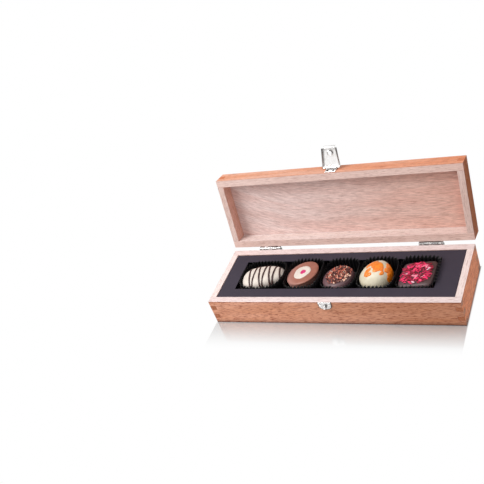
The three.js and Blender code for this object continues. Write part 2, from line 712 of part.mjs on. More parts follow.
// The stripe of dark chocolate that runs to and fro over the oval, resting on its crown.
function drizzle(chocolate) {
  const height = chocolateHeight(chocolate);
  const shoulder = height - chocolate.crown;
  const stand = DRIZZLE_RADIUS + SEAT;
  const crownAt = (u, v) => {
    const angle = Math.atan2(v, u);
    const reach = superellipse(chocolate.halfX, chocolate.halfY, chocolate.square, angle);
    const share = Math.min(1, Math.hypot(u, v) / reach);
    const rise = (1 - share ** chocolate.round) ** (1 / chocolate.round);
    return new THREE.Vector3(u, v, shoulder + chocolate.crown * rise);
  };
  const stripeAt = (share) => {
    const u = chocolate.halfX * DRIZZLE_SPAN * (2 * share - 1);
    const left = (1 - Math.abs(u / chocolate.halfX) ** chocolate.square) ** (1 / chocolate.square);
    const v = DRIZZLE_REACH * left * chocolate.halfY * Math.cos(Math.PI * DRIZZLE_PASSES * share);
    const point = crownAt(u, v);
    const alongU = crownAt(u + NUDGE, v).sub(crownAt(u - NUDGE, v));
    const alongV = crownAt(u, v + NUDGE).sub(crownAt(u, v - NUDGE));
    const out = alongU.cross(alongV).normalize();
    return point.addScaledVector(out, stand);
  };
  const steps = DRIZZLE_PASSES * DRIZZLE_STEPS;
  const points = Array.from({ length: steps + 1 }, (_, step) => stripeAt(step / steps));
  const path = new THREE.CatmullRomCurve3(points);
  const section = new THREE.Shape();
  section.absarc(0, 0, DRIZZLE_RADIUS, 0, 2 * Math.PI, false);
  const geometry = new THREE.ExtrudeGeometry(section, {
    steps,
    curveSegments: DRIZZLE_SIDES,
    bevelEnabled: false,
    extrudePath: path,
  });
  return geometry.rotateZ(chocolate.turn);
}

// A piece of candied orange set on the dome, hollowed underneath to fit it.
function orangePiece(chocolate, piece, body) {
  const height = chocolateHeight(chocolate);
  const shoulder = height - chocolate.crown;
  const out = new THREE.Vector3(
    Math.sin(piece.slope) * Math.cos(piece.around),
    Math.sin(piece.slope) * Math.sin(piece.around),
    Math.cos(piece.slope),
  );
  const { round } = chocolate;
  const spread = Math.cos(piece.slope) ** round + Math.sin(piece.slope) ** round;
  const rise = spread ** (-1 / round);
  const place = new THREE.Vector3(
    out.x * chocolate.halfX * rise,
    out.y * chocolate.halfY * rise,
    shoulder + out.z * chocolate.crown * rise,
  );
  const turn = new THREE.Quaternion().setFromUnitVectors(new THREE.Vector3(0, 0, 1), out);
  const half = piece.length / 2;
  const lump = new THREE.IcosahedronGeometry(half, 1)
    .scale(1, ORANGE_BREADTH, ORANGE_FLATNESS)
    .applyQuaternion(turn)
    .translate(place.x, place.y, place.z);
  const room = 1 + SEAT / chocolate.halfX;
  return cut(lump, body.clone().scale(room, room, 1 + SEAT / height));
}

// Assembly

const box = new THREE.Group();

const frontHoles = (places) => places.map(([x, z]) => nailHole(x, FRONT_FACE, z, -1));
tray(box, "case", 0, CASE_HEIGHT, CASE_FINGERS, false, {
  front: frontHoles(catchNails),
  back: backHoles(-1),
});
add(box, "card_insert", cardInsert(), FINISHES.card());
add(box, "card_riser", cardRiser(), FINISHES.card());
add(box, "catch_plate", catchPlate(), FINISHES.nickel());
addNails(box, "catch", catchNails, FRONT_FACE - PLATE_FACE, -1);

const bodyFinish = { oval: "white", round: "milk", nib: "dark", dome: "white", square: "dark" };
let cellStart = windowX;
for (const chocolate of CHOCOLATES) {
  const middle = cellStart + cellWidth(chocolate) / 2;
  cellStart += cellWidth(chocolate);
  add(box, chocolate.name + "_cup", paperCup(chocolate, middle), FINISHES.paper());
  const seat = new THREE.Group();
  seat.position.set(middle + CHOCOLATE_SHIFT, WINDOW_SHIFT_Y + chocolate.y, CHOCOLATE_BASE);
  box.add(seat);
  const body = chocolateBody(chocolate);
  add(seat, chocolate.name + "_chocolate", body, FINISHES[bodyFinish[chocolate.name]]());
  if (chocolate.name === "oval") {
    add(seat, "oval_drizzle", drizzle(chocolate), FINISHES.dark());
  } else if (chocolate.name === "round") {
    add(seat, "round_spot", drop(chocolate, SPOT_RADIUS, SPOT_THICKNESS, SEAT), FINISHES.white());
    const lift = SPOT_THICKNESS + 2 * SEAT;
    add(seat, "round_dot", drop(chocolate, DOT_RADIUS, SPOT_THICKNESS, lift), FINISHES.pink());
  } else if (chocolate.name === "dome") {
    ORANGE_PIECES.forEach((piece, index) =>
      add(seat, `dome_orange_${index + 1}`, orangePiece(chocolate, piece, body), FINISHES.orange()),
    );
  } else {
    const topping = chocolate.name === "nib" ? "nib" : "berry";
    add(seat, chocolate.name + "_crust", crust(chocolate), FINISHES[topping]());
  }
}

const lid = new THREE.Group();
lid.position.set(0, HINGE_Y, HINGE_Z);
lid.rotation.x = -LID_OPEN;
box.add(lid);
// Everything on the lid is drawn where it lies on the shut box, then turned about the hinge pins.
const shutLid = new THREE.Group();
shutLid.position.set(0, -HINGE_Y, -HINGE_Z);
lid.add(shutLid);
tray(shutLid, "lid", LID_BASE, LID_HEIGHT, LID_FINGERS, true, {
  front: frontHoles(claspNails),
  back: backHoles(1),
});

for (const side of Object.keys(hingeMiddles)) {
  const prefix = side + "_hinge";
  add(box, prefix + "_case_leaf", hingeLeaf(side, -1), FINISHES.nickel());
  add(box, prefix + "_pin", hingePin(side), FINISHES.nickel());
  add(shutLid, prefix + "_lid_leaf", hingeLeaf(side, 1), FINISHES.nickel());
  addNails(box, prefix + "_case", hingeNails(side, -1), BACK_FACE + SHEET_FACE, 1);
  addNails(shutLid, prefix + "_lid", hingeNails(side, 1), BACK_FACE + SHEET_FACE, 1);
}

const clasp = new THREE.Group();
clasp.position.set(CLASP_X, FRONT_FACE - CLASP_SETBACK, claspPivotZ);
shutLid.add(clasp);
add(clasp, "clasp_plate", claspPlate(), FINISHES.nickel());
const claspPinHalf = ARM_TOP_WIDTH / 2;
add(clasp, "clasp_pin", barAlongX(CLASP_PIN_RADIUS, -claspPinHalf, claspPinHalf), FINISHES.nickel());
addNails(shutLid, "clasp", claspNails, FRONT_FACE - PLATE_FACE, -1);
const arm = new THREE.Group();
arm.rotation.x = -CLASP_OPEN;
clasp.add(arm);
add(arm, "clasp_arm", claspArm(), FINISHES.nickel());

export default box;
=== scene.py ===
# %% [markdown]
# # A wooden box of chocolates
# The box stands open: a finger-jointed case with a card insert, five chocolates in pleated paper cups,
# and a lid on two small hinges with a metal clasp. The CAD model gives every piece its size and place.
# This lesson dresses it. Boards, card, hinges and nails keep their CAD shape and get a finish. Chocolates,
# toppings, cups, catch plate and clasp arm are made again as surfaces from formulas.

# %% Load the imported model
import math

import bpy
import numpy as np
from mathutils import Matrix, Vector


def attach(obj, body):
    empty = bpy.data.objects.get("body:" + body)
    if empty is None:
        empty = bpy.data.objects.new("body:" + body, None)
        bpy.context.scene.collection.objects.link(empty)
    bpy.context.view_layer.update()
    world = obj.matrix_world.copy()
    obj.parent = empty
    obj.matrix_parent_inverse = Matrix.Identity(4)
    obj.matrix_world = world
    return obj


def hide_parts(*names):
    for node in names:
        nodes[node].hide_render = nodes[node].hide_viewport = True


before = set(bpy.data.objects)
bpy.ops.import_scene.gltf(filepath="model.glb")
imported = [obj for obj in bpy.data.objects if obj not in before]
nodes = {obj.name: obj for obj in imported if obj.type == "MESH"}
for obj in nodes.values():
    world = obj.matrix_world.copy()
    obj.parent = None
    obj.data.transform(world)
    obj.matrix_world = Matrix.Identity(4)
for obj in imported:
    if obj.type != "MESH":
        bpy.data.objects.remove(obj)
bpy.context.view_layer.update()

# %% [markdown]
# ## Sizes shared with the CAD model
# A scene can't read the part's source, so the few sizes that the finishes need are repeated here, in
# metres. The lid is drawn shut in some steps and turned about the hinge pins, so the pins' line and the
# lid's angle are here too.

# %% Sizes
MM = 0.001
BOX_LENGTH = 235 * MM
BOX_DEPTH = 72.5 * MM
CASE_HEIGHT = 26.2 * MM
LID_HEIGHT = 16 * MM
RIM_GAP = 0.52 * MM
LID_BASE = CASE_HEIGHT + RIM_GAP
LID_OPEN = math.radians(101.1)
HINGE_SETBACK = 1.9 * MM
HINGE = np.array([0, BOX_DEPTH / 2 + HINGE_SETBACK, CASE_HEIGHT + RIM_GAP / 2])
CARD_BELOW_RIM = 0.5 * MM
CARD_TOP = CASE_HEIGHT - CARD_BELOW_RIM
CUP_BASE = 13.1 * MM
CHOCOLATE_BASE = 13.7 * MM
WINDOW_DEPTH = 37.5 * MM
WINDOW_Y = 0.6 * MM
print("shut height", round((LID_BASE + LID_HEIGHT) / MM, 2), "mm")

# %% [markdown]
# ## Camera
# The camera's place was solved from the corners of the case and the lid: it stands in front, to the right,
# looks down and is rolled, so that the row of chocolates runs level. A camera that isn't turned looks
# straight down. So it is rolled first, then tilted up towards the box, and then swung round to the right. A
# long edge of 36 mm on the sensor turns the focal length from pixels into millimetres.

# %% Camera
FRAME_PIXELS = 484
FOCAL_PIXELS = 842.374
SENSOR = 36
CAMERA_PLACE = Vector((0.285307, -0.522031, 0.496770))
CAMERA_SWING, CAMERA_TILT, CAMERA_ROLL = [math.radians(angle) for angle in (35.0094, 56.0136, -23.4112)]
camera_data = bpy.data.cameras.new("camera")
camera_data.sensor_width = SENSOR
camera_data.lens = FOCAL_PIXELS / FRAME_PIXELS * SENSOR
camera = bpy.data.objects.new("camera", camera_data)
bpy.context.scene.collection.objects.link(camera)
turns = ((CAMERA_SWING, "Z"), (CAMERA_TILT, "X"), (CAMERA_ROLL, "Z"))
swing, tilt, roll = [Matrix.Rotation(angle, 4, axis) for angle, axis in turns]
camera.matrix_world = Matrix.Translation(CAMERA_PLACE) @ swing @ tilt @ roll
bpy.context.scene.camera = camera
print("lens", round(camera_data.lens, 2), "mm")

# %% [markdown]
# ## Shader sums
# A procedural finish is a small calculation on every point of a surface. Blender draws it as nodes, and
# wiring dozens of nodes by hand is hard to read. So one class wraps the output of a node and gives it
# + - * /, and another holds a material and makes any node from its type, settings and inputs. A finish
# then reads like a formula.


# %% Wires and finishes
class Wire:
    """An output of a shader node. A sum of wires and numbers adds Math nodes to the same finish."""

    def __init__(self, finish, socket):
        self.finish = finish
        self.socket = socket

    def sum(self, operation, *values):
        """A Math node on one or two values."""
        inputs = dict(enumerate(values))
        return self.finish.node("ShaderNodeMath", {"operation": operation}, inputs)

    def __add__(self, other):
        return self.sum("ADD", self, other)

    def __radd__(self, other):
        return self.sum("ADD", other, self)

    def __sub__(self, other):
        return self.sum("SUBTRACT", self, other)

    def __rsub__(self, other):
        return self.sum("SUBTRACT", other, self)

    def __mul__(self, other):
        return self.sum("MULTIPLY", self, other)

    def __rmul__(self, other):
        return self.sum("MULTIPLY", other, self)

    def __truediv__(self, other):
        return self.sum("DIVIDE", self, other)

    def __pow__(self, other):
        return self.sum("POWER", self, other)

    def size(self):
        return self.sum("ABSOLUTE", self)

    def larger(self, other):
        return self.sum("MAXIMUM", self, other)

    def rise(self, low, high):
        """0 below low, 1 above high, and a smooth step between them. Low above high turns it round."""
        inputs = {"Value": self, "From Min": low, "From Max": high}
        return self.finish.node("ShaderNodeMapRange", {"interpolation_type": "SMOOTHSTEP"}, inputs)


class Nodes:
    """A tree of shader nodes, and short ways to add the ones that this scene needs."""

    def __init__(self, tree):
        self.tree = tree

    def feed(self, socket, value):
        """Links a wire to a socket, or sets the socket to a value."""
        if isinstance(value, Wire):
            self.tree.links.new(value.socket, socket)
        else:
            socket.default_value = value

    def node(self, kind, settings=None, inputs=None, output=0):
        """Any node: its type, its settings, which are set first, and its sockets' values or links."""
        made = self.tree.nodes.new(kind)
        for setting, value in (settings or {}).items():
            setattr(made, setting, value)
        for socket, value in (inputs or {}).items():
            self.feed(made.inputs[socket], value)
        return Wire(self, made.outputs[output])

    def place(self):
        """Every point's place in metres: all objects stand at the origin."""
        return self.node("ShaderNodeTexCoord", output="Object")

    def spread(self, place, stretch, shift=(0, 0, 0), turn=(0, 0, 0)):
        """A place multiplied along each axis, then turned and shifted."""
        inputs = {"Vector": place, "Location": shift, "Rotation": turn, "Scale": stretch}
        return self.node("ShaderNodeMapping", None, inputs)

    def axes(self, place):
        """The three numbers of a place."""
        parts = self.node("ShaderNodeSeparateXYZ", None, {"Vector": place}).socket.node
        return [Wire(self, socket) for socket in parts.outputs]

    def stored(self, name):
        """Numbers kept on the points of a mesh."""
        return self.node("ShaderNodeAttribute", {"attribute_name": name}, output="Fac")

    def noise(self, place, scale=1.0, detail=2.0, rough=0.5, output=0):
        inputs = {"Vector": place, "Scale": scale, "Detail": detail, "Roughness": rough}
        return self.node("ShaderNodeTexNoise", None, inputs, output)

    def blend(self, share, first, second, way="MIX"):
        """A colour between two, by a share from 0 to 1."""
        settings = {"data_type": "RGBA", "blend_type": way}
        return self.node("ShaderNodeMix", settings, {0: share, 6: first, 7: second}, 2)

    def plain_view(self):
        """1 for the rays of the camera, of mirrors and of glass, 0 for the rays that carry light about."""
        kinds = ("Is Camera Ray", "Is Glossy Ray", "Is Transmission Ray")
        camera, glossy, through = [self.node("ShaderNodeLightPath", output=kind) for kind in kinds]
        return camera.larger(glossy).larger(through)

    def bump(self, height, distance, strength=1.0):
        inputs = {"Height": height, "Distance": distance, "Strength": strength}
        return self.node("ShaderNodeBump", None, inputs)


class Finish(Nodes):
    """A procedural material: a Principled shader, and the nodes that feed it."""

    def __init__(self, name, fixed):
        self.material = bpy.data.materials.new(name)
        self.material.use_nodes = True
        super().__init__(self.material.node_tree)
        self.shader = self.tree.nodes["Principled BSDF"]
        self.set(fixed)

    def set(self, inputs):
        for socket, value in inputs.items():
            self.feed(self.shader.inputs[socket], value)


def tone(red, green, blue):
    """A colour from the 0 to 255 values that a picture shows, as the linear light that shaders use."""
    share = np.array([red, green, blue]) / 255
    linear = np.where(share <= 0.04045, share / 12.92, ((share + 0.055) / 1.055) ** 2.4)
    return (*linear.tolist(), 1.0)


print("tone of mid grey", [round(v, 3) for v in tone(128, 128, 128)])

# %% [markdown]
# ## Floor and light
# The box stands on a glossy white table in soft studio light. One square lamp hangs above, to the left and
# in front, so the lid's left wall throws a soft shadow on its panel. The world gives light from all round,
# a little more from the right, as a white screen would. But mirrors see it dark low on the right and far
# left, as if black flags lay beside the table. The table mirrors the case faintly in front. Away from the
# box it fades to plain white for what the camera and mirrors see, slowly in front and at once beside and
# behind: Light Path keeps that from adding light. It ends where it is white, so that metal sees the flags
# past its edge.

# %% Floor and light
FLOOR_HALF = 0.26
FLOOR_BELOW = 0.2 * MM
WHITE = (1, 1, 1, 1)
TABLE_GREY = (0.52, 0.52, 0.52, 1)
TABLE_ROUGH, GLOSS_ROUGH = 0.6, 0.12
LAMP_WATTS = 10.2
LAMP_SIZE = 0.6
LAMP_PLACE = Vector((-0.64, -0.40, 0.86))
AMBIENT = 0.4
RIGHT_FILL = 0.75
FLAG_DARK = 0.95
FLAG_RIGHT, FLAG_LEFT, FLAG_TOP = (0.2, 0.5), (-0.5, -0.8), (0.26, 0.1)
MIRROR = 0.3
FADE = 35 * MM
SHARPER_BESIDE = 25

floor_mesh = bpy.data.meshes.new("floor")
corners = np.array([[-1, -1, 0], [1, -1, 0], [1, 1, 0], [-1, 1, 0]]) * FLOOR_HALF
floor_mesh.from_pydata((corners - [0, 0, FLOOR_BELOW]).tolist(), [], [[0, 1, 2, 3]])
floor = bpy.data.objects.new("floor", floor_mesh)
bpy.context.scene.collection.objects.link(floor)
table = Finish("white_table", {"Base Color": TABLE_GREY, "Roughness": TABLE_ROUGH})
table_x, table_y, _ = table.axes(table.place())
beside = (table_x.size() - BOX_LENGTH / 2).larger(table_y - BOX_DEPTH / 2) * SHARPER_BESIDE
away = beside.larger(0 - table_y - BOX_DEPTH / 2)
seen = table.plain_view()
white = table.node("ShaderNodeEmission", None, {"Color": WHITE})
gloss = table.node("ShaderNodeBsdfGlossy", None, {"Color": WHITE, "Roughness": GLOSS_ROUGH})
matt = Wire(table, table.shader.outputs[0])
shaded = table.node("ShaderNodeMixShader", None, {0: MIRROR, 1: matt, 2: gloss})
mixed = table.node("ShaderNodeMixShader", None, {0: away.rise(0.0, FADE) * seen, 1: shaded, 2: white})
table.feed(table.tree.nodes["Material Output"].inputs["Surface"], mixed)
floor_mesh.materials.append(table.material)

lamp_data = bpy.data.lights.new("soft_box", "AREA")
lamp_data.energy = LAMP_WATTS
lamp_data.size = LAMP_SIZE
lamp = bpy.data.objects.new("soft_box", lamp_data)
lamp.location = LAMP_PLACE
lamp.rotation_mode = "QUATERNION"
lamp.rotation_quaternion = LAMP_PLACE.to_track_quat("Z", "Y")
bpy.context.scene.collection.objects.link(lamp)

world = bpy.data.worlds.new("studio")
world.use_nodes = True
bpy.context.scene.world = world
studio = Nodes(world.node_tree)
to_right, _, upward = studio.axes(studio.node("ShaderNodeTexCoord", output="Generated"))
beside_table = to_right.rise(*FLAG_RIGHT).larger(to_right.rise(*FLAG_LEFT))
flags = beside_table * upward.rise(*FLAG_TOP) * FLAG_DARK
glossy_ray = studio.node("ShaderNodeLightPath", output="Is Glossy Ray")
lit = AMBIENT + to_right.larger(0) * RIGHT_FILL
level = lit + studio.plain_view() * (1 - lit) - glossy_ray * flags
sky = world.node_tree.nodes["Background"]
studio.feed(sky.inputs["Color"], WHITE)
studio.feed(sky.inputs["Strength"], level)
bpy.context.scene.view_settings.view_transform = "Standard"
print("lamp", LAMP_WATTS, "W, ambient", AMBIENT)

# %% [markdown]
# ## Wood
# The boards are a reddish, open-pored wood: fine fibres along the board, short dark pores, streaks and slow
# bands. Outside it is oiled and warm; inside and on the rims it is bare and pale. Picture textures could
# show this, but noise stretched along the grain does too, and has no seams where boards meet. The finish
# works in the frame of the shut box: there, a point's distance from the outer faces says whether it is
# oiled, on a rim, or end grain.


# %% Wood finish
def shut_place(finish, turned):
    """Object coordinates, turned back about the hinge pins for the pieces of the open lid."""
    if not turned:
        return finish.place()
    back = Matrix.Rotation(LID_OPEN, 3, "X")
    shift = Vector(HINGE) - back @ Vector(HINGE)
    return finish.spread(finish.place(), (1, 1, 1), tuple(shift), (LID_OPEN, 0, 0))


SWAY_SCALE, SWAY_REACH = 14.0, 4 * MM


def grain_place(finish, place, lean, bow):
    """A place as the grain runs: swayed a few millimetres by slow noise, and turned by the small angles
    `lean`. A bow of a start and a bend curves the grain left of the start, as y + bend (start - x)^2 / 2."""
    sway = finish.noise(place, SWAY_SCALE, 1.0, output="Color")
    swayed = {0: sway, 1: (SWAY_REACH, SWAY_REACH, SWAY_REACH), 2: place}
    leaning = finish.spread(finish.node("ShaderNodeVectorMath", {"operation": "MULTIPLY_ADD"}, swayed),
                            (1, 1, 1), turn=lean)
    if bow is None:
        return leaning
    start, bend = bow
    along, across, up = finish.axes(leaning)
    past = (start - along).larger(0)
    bowed = {"X": along, "Y": across + past * past * (bend / 2), "Z": up}
    return finish.node("ShaderNodeCombineXYZ", None, bowed)


EDGE = 0.15 * MM


def wood_zones(finish, place, turned):
    """Shares of a board's surface, by its place in the shut box: its outside, its rim, and the painted shade
    along its edges where the outside meets the rim or, on the case, the floor."""
    x, y, z = finish.axes(place)
    side = (x.size() - BOX_LENGTH / 2).larger(y.size() - BOX_DEPTH / 2)
    flat = (z - LID_BASE - LID_HEIGHT) if turned else (0 - z)
    outside = side.larger(flat).rise(-EDGE, -EDGE / 3)
    rim_depth = (z - LID_BASE) if turned else (CASE_HEIGHT - z)
    rim = rim_depth.rise(EDGE, EDGE / 3)
    edge_shade = rim_depth.rise(EDGE_SHADE_REACH, EDGE) * RIM_EDGE_SHADE
    if not turned:
        edge_shade = edge_shade.larger(z.rise(EDGE_SHADE_REACH, EDGE))
    return outside, rim, edge_shade * outside * (1 - rim)


# Edge lines: painted shade of the rounded edges, where the outside meets the rim and the floor.
EDGE_SHADE_REACH, RIM_EDGE_SHADE, EDGE_SHADE_DARK = 1.4 * MM, 0.7, 0.6
# Painted shade: the case's outside darkens towards the floor beside it.
FLOOR_SHADE_HEIGHT, FLOOR_SHADE_DARK = 4.8 * MM, 0.7
# Painted shade: the boards darken towards the right end, as the lamp's light falls off there.
RIGHT_END_SHADE_SPAN = (-70 * MM, 115 * MM)
BAND = (70, 9)
END_GRAIN = (tone(156, 104, 80), tone(112, 70, 52))
WOOD_GLOSS = 0.12
# The pores' own dark tone, which the painted shade along the edges uses too.
PORE_AND_EDGE_SHADE = tone(140, 84, 66)
PORE_DEPTH = 0.06 * MM


def wood(name, grain, turned, colours, figure, lean=(0, 0, 0)):
    """Wood with its grain along axis 0 (X) or 1 (Y) of the shut box.
    Fibres, pores, streaks and bands are noise stretched along the grain; pores show where their noise is
    high. `figure` has the length and width of fibres, pores and streaks, the shares of dark that pores,
    streaks and fibres give, how calm the rims are, how much the end grain shows, and perhaps a bow.
    `colours` has pairs for the inside, the outside and the rim, mixed by the bands, and perhaps for the end
    grain. One more colour darkens the outside towards the right end, and the inside by a share, and another
    darkens the outside where it nears the floor: both are painted shade, the first where the lamp's light
    falls off to the right, the second of the floor beside the case."""
    finish = Finish(name, {"Specular IOR Level": colours.get("gloss", WOOD_GLOSS)})
    place = shut_place(finish, turned)
    grained = grain_place(finish, place, lean, figure.get("bow"))

    def stretched(length, width, detail, rough=0.5):
        scale = [1 / (width * MM)] * 3
        scale[grain] = 1 / (length * MM)
        return finish.noise(finish.spread(grained, tuple(scale)), 1.0, detail, rough)

    fibre = stretched(*figure["fibre"], 3.0, 0.65)
    grainy = fibre.rise(0.3, 0.7)
    pore = stretched(*figure["pore"], 1.0).rise(0.53, 0.66)
    streak = stretched(*figure["streak"], 3.0, 0.65).rise(0.36, 0.7)
    band = stretched(*BAND, 3.0, 0.6).rise(0.32, 0.68)
    outside, rim, edge_shade = wood_zones(finish, place, turned)
    pairs = zip(colours["inside"], colours["outside"], colours["rim"])
    first, second = [finish.blend(rim, finish.blend(outside, inner, outer), top)
                     for inner, outer, top in pairs]
    ground = finish.blend(band * 0.6 + grainy * 0.25 + streak * 0.15, first, second)
    pore_share, streak_share, fibre_share = figure["shares"]
    figured = pore * pore_share + streak * streak_share + grainy * fibre_share
    # Pores, streaks and fibres darken by their own tone; the edge share adds painted shade.
    dark = figured * (1 - rim * figure["calm"]) + edge_shade * EDGE_SHADE_DARK
    shade = finish.blend(dark, ground, PORE_AND_EDGE_SHADE, "MULTIPLY")
    x, y, z = finish.axes(place)
    # Painted shade: darker towards the right end, where less of the lamp's light falls.
    if "right_end_shade" in colours:
        right_end_shade, inner_share = colours["right_end_shade"]
        right_end_shade_share = x.rise(*RIGHT_END_SHADE_SPAN) * (inner_share + outside * (1 - inner_share))
        shade = finish.blend(right_end_shade_share, shade, right_end_shade, "MULTIPLY")
    # Painted shade: the outside darkens where it nears the floor.
    if "foot" in colours:
        floor_shade_share = z.rise(FLOOR_SHADE_HEIGHT, 0) * outside * FLOOR_SHADE_DARK
        shade = finish.blend(floor_shade_share, shade, colours["foot"], "MULTIPLY")
    past_end = (x.size() - BOX_LENGTH / 2) if grain == 0 else (y.size() - BOX_DEPTH / 2)
    end = past_end.rise(-EDGE, -EDGE / 3) * (1 - rim) * figure["end"]
    finish.set({
        "Base Color": finish.blend(end, shade, finish.blend(grainy, *colours.get("end", END_GRAIN))),
        "Roughness": 0.52 + grainy * 0.12 - outside * 0.08,
        "Normal": finish.bump(fibre * 0.4 - pore, PORE_DEPTH, 0.5),
    })
    return finish.material


# %% [markdown]
# ## Wood colours
# No two boards of a real box have quite the same tone. The case has short dark dashes and the lid long fine
# lines, and the lid's panel is a sheet whose grain flows down to the right at its left end. Every pair is
# a darker and a lighter tone of the same surface. The lid's side boards get darker tones than its front
# and back: painted shade, as their faces lie in shade in the open lid. Tones that darken towards the right
# end, or near the floor, are painted shade too.

# %% Wood colours
CASE_FRONT = dict(
    outside=(tone(227, 160, 124), tone(247, 187, 158)),
    inside=(tone(236, 200, 188), tone(248, 222, 214)),
    rim=(tone(243, 222, 219), tone(251, 236, 233)),
    # Darker towards the right end: painted shade.
    right_end_shade=(tone(223, 214, 203), 0),
    # Darker near the floor: painted shade.
    foot=tone(150, 150, 160),
)
CASE_SIDE = dict(
    inside=CASE_FRONT["inside"],
    outside=(tone(228, 136, 88), tone(241, 159, 112)),
    rim=(tone(252, 229, 223), tone(255, 242, 238)),
)
LID_FRONT = dict(
    outside=(tone(243, 164, 124), tone(255, 203, 178)),
    inside=(tone(246, 225, 217), tone(254, 245, 242)),
    rim=(tone(234, 202, 191), tone(242, 216, 207)),
    # Darker towards the right end, a little inside too: painted shade.
    right_end_shade=(tone(255, 234, 218), 0.15),
    end=(tone(156, 84, 48), tone(138, 72, 40)),
)
# Painted shade: the lid's sides are darker than its front and back, inside and out.
LID_SIDE_SHADED = dict(
    outside=(tone(142, 79, 46), tone(168, 101, 62)),
    inside=(tone(220, 165, 145), tone(231, 184, 168)),
    rim=(tone(225, 195, 184), tone(233, 207, 198)),
    end=(tone(222, 138, 100), tone(204, 118, 82)),
    gloss=0.02,
)
LID_PANEL = dict(
    LID_FRONT,
    inside=(tone(245, 213, 205), tone(253, 236, 232)),
    # Darker towards the right end all over: painted shade.
    right_end_shade=(tone(252, 232, 220), 1),
)
SHORT_DASHES = dict(fibre=(8, 0.8), pore=(5, 0.5), streak=(10, 0.6), shares=(0.5, 0.26, 0.28),
                    calm=0.5, end=0.6)
LONG_LINES = dict(fibre=(22, 0.5), pore=(6, 0.26), streak=(14, 0.42), shares=(0.4, 0.24, 0.096),
                  calm=0.1, end=1)
FLOWING = dict(LONG_LINES, fibre=(9, 0.9), streak=(10, 0.34), shares=(0.2, 0.2, 0.36), bow=(-20 * MM, 4.7))
FRONT_DASHES = dict(SHORT_DASHES, end=0.35)
WOODS = {
    "case_along": wood("case_board_along", 0, False, CASE_FRONT, FRONT_DASHES, (0, 0.06, 0)),
    "case_across": wood("case_board_across", 1, False, CASE_SIDE, SHORT_DASHES),
    "lid_along": wood("lid_board_along", 0, True, LID_FRONT, LONG_LINES),
    "lid_across": wood("lid_board_across", 1, True, LID_SIDE_SHADED, LONG_LINES),
    "panel": wood("lid_panel_wood", 0, True, LID_PANEL, FLOWING, (0, 0, -0.04)),
}
print("wood finishes", sorted(WOODS))

# %% [markdown]
# ## Boards
# The CAD boards have the right shape, fingers and rebates included, so they stay. A real board's edges
# are broken with sandpaper. Two modifiers do that without touching the CAD mesh: Weld joins its loose
# triangles, and Bevel rounds every sharp edge by a fifth of a millimetre.

# %% Boards
BROKEN_EDGE = 0.2 * MM
WELD_REACH = 0.002 * MM
SHARP = math.radians(40)


def soften(thing, width):
    """Welds a CAD node's loose triangles and rounds its sharp edges."""
    weld = thing.modifiers.new("weld", "WELD")
    weld.merge_threshold = WELD_REACH
    bevel = thing.modifiers.new("broken_edges", "BEVEL")
    bevel.width = width
    bevel.segments = 2
    bevel.limit_method = "ANGLE"
    bevel.angle_limit = SHARP


def dress(name, material):
    """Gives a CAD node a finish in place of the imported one."""
    thing = nodes[name]
    for slot in thing.material_slots:
        slot.material = material
    return thing


for tray in ("case", "lid"):
    for side in ("front", "back"):
        soften(dress(f"{tray}_{side}", WOODS[tray + "_along"]), BROKEN_EDGE)
    for side in ("left", "right"):
        soften(dress(f"{tray}_{side}", WOODS[tray + "_across"]), BROKEN_EDGE)
dress("case_bottom", WOODS["case_along"])
dress("lid_panel", WOODS["panel"])
print("boards dressed", sum(n.startswith(("case_", "lid_")) for n in nodes))

# %% [markdown]
# ## Surfaces from formulas
# A new piece is a grid of points worked out at once by numpy: rows run up the shape, columns run round it.
# Joining neighbours gives the faces, and a point in the middle closes an end. Every piece stays at the
# origin with its place in its mesh, as the CAD nodes do, so patterns on Object coordinates fit.


# %% Grids and pieces
def grid_faces(rows, columns, ring=True):
    """Quads between the neighbours of a grid, with the points counted row by row. In a ring the last column
    joins the first."""
    row, column = np.meshgrid(np.arange(rows - 1), np.arange(columns - (not ring)), indexing="ij")
    low, after = row * columns + column, row * columns + (column + 1) % columns
    return np.stack([low, after, after + columns, low + columns], -1).reshape(-1, 4).tolist()


def closed_grid(points, open_top=False):
    """Points and faces of a grid of rings, the first and the last closed by a fan to the middle of the
    ring. An open top has no fan."""
    rows, columns, _ = points.shape
    side = np.arange(columns)
    after = (side + 1) % columns
    middle, top = rows * columns, (rows - 1) * columns
    fans = [np.stack([np.full(columns, middle), after, side], -1)]
    if not open_top:
        fans.append(np.stack([np.full(columns, middle + 1), top + side, top + after], -1))
    middles = points[[0, -1][:len(fans)]].mean(1)
    faces = grid_faces(rows, columns) + np.concatenate(fans).tolist()
    return np.concatenate([points.reshape(-1, 3), middles]), faces


def joined(parts):
    """Several meshes as one: points end to end, faces counted on."""
    starts = np.cumsum([0] + [len(points) for points, _ in parts])
    faces = [[corner + int(start) for corner in face]
             for start, (_, own) in zip(starts, parts) for face in own]
    return np.concatenate([points for points, _ in parts]), faces


def store(thing, name, values):
    """Numbers kept on the points of a mesh, for its finish to read."""
    kept = thing.data.attributes.new(name, "FLOAT", "POINT")
    kept.data.foreach_set("value", values.astype(np.float32))


def thicken(thing, name, thickness):
    """Gives a sheet its thickness, half to each side."""
    solid = thing.modifiers.new(name, "SOLIDIFY")
    solid.thickness = thickness
    solid.offset = 0


def piece(name, points, faces, body, slot, material, stands_for=(), smooth=True):
    """A new object at the origin, with its place in its mesh, riding on a CAD body."""
    mesh = bpy.data.meshes.new(name)
    mesh.from_pydata(np.asarray(points).reshape(-1, 3).tolist(), [], faces)
    mesh.polygons.foreach_set("use_smooth", np.full(len(mesh.polygons), smooth))
    mesh.materials.append(material)
    thing = bpy.data.objects.new(name, mesh)
    bpy.context.scene.collection.objects.link(thing)
    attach(thing, body)
    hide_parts(*stands_for)
    print(name, len(mesh.polygons), "faces")
    return thing


print("3 rings of 4 points have", len(grid_faces(3, 4)), "faces between them")

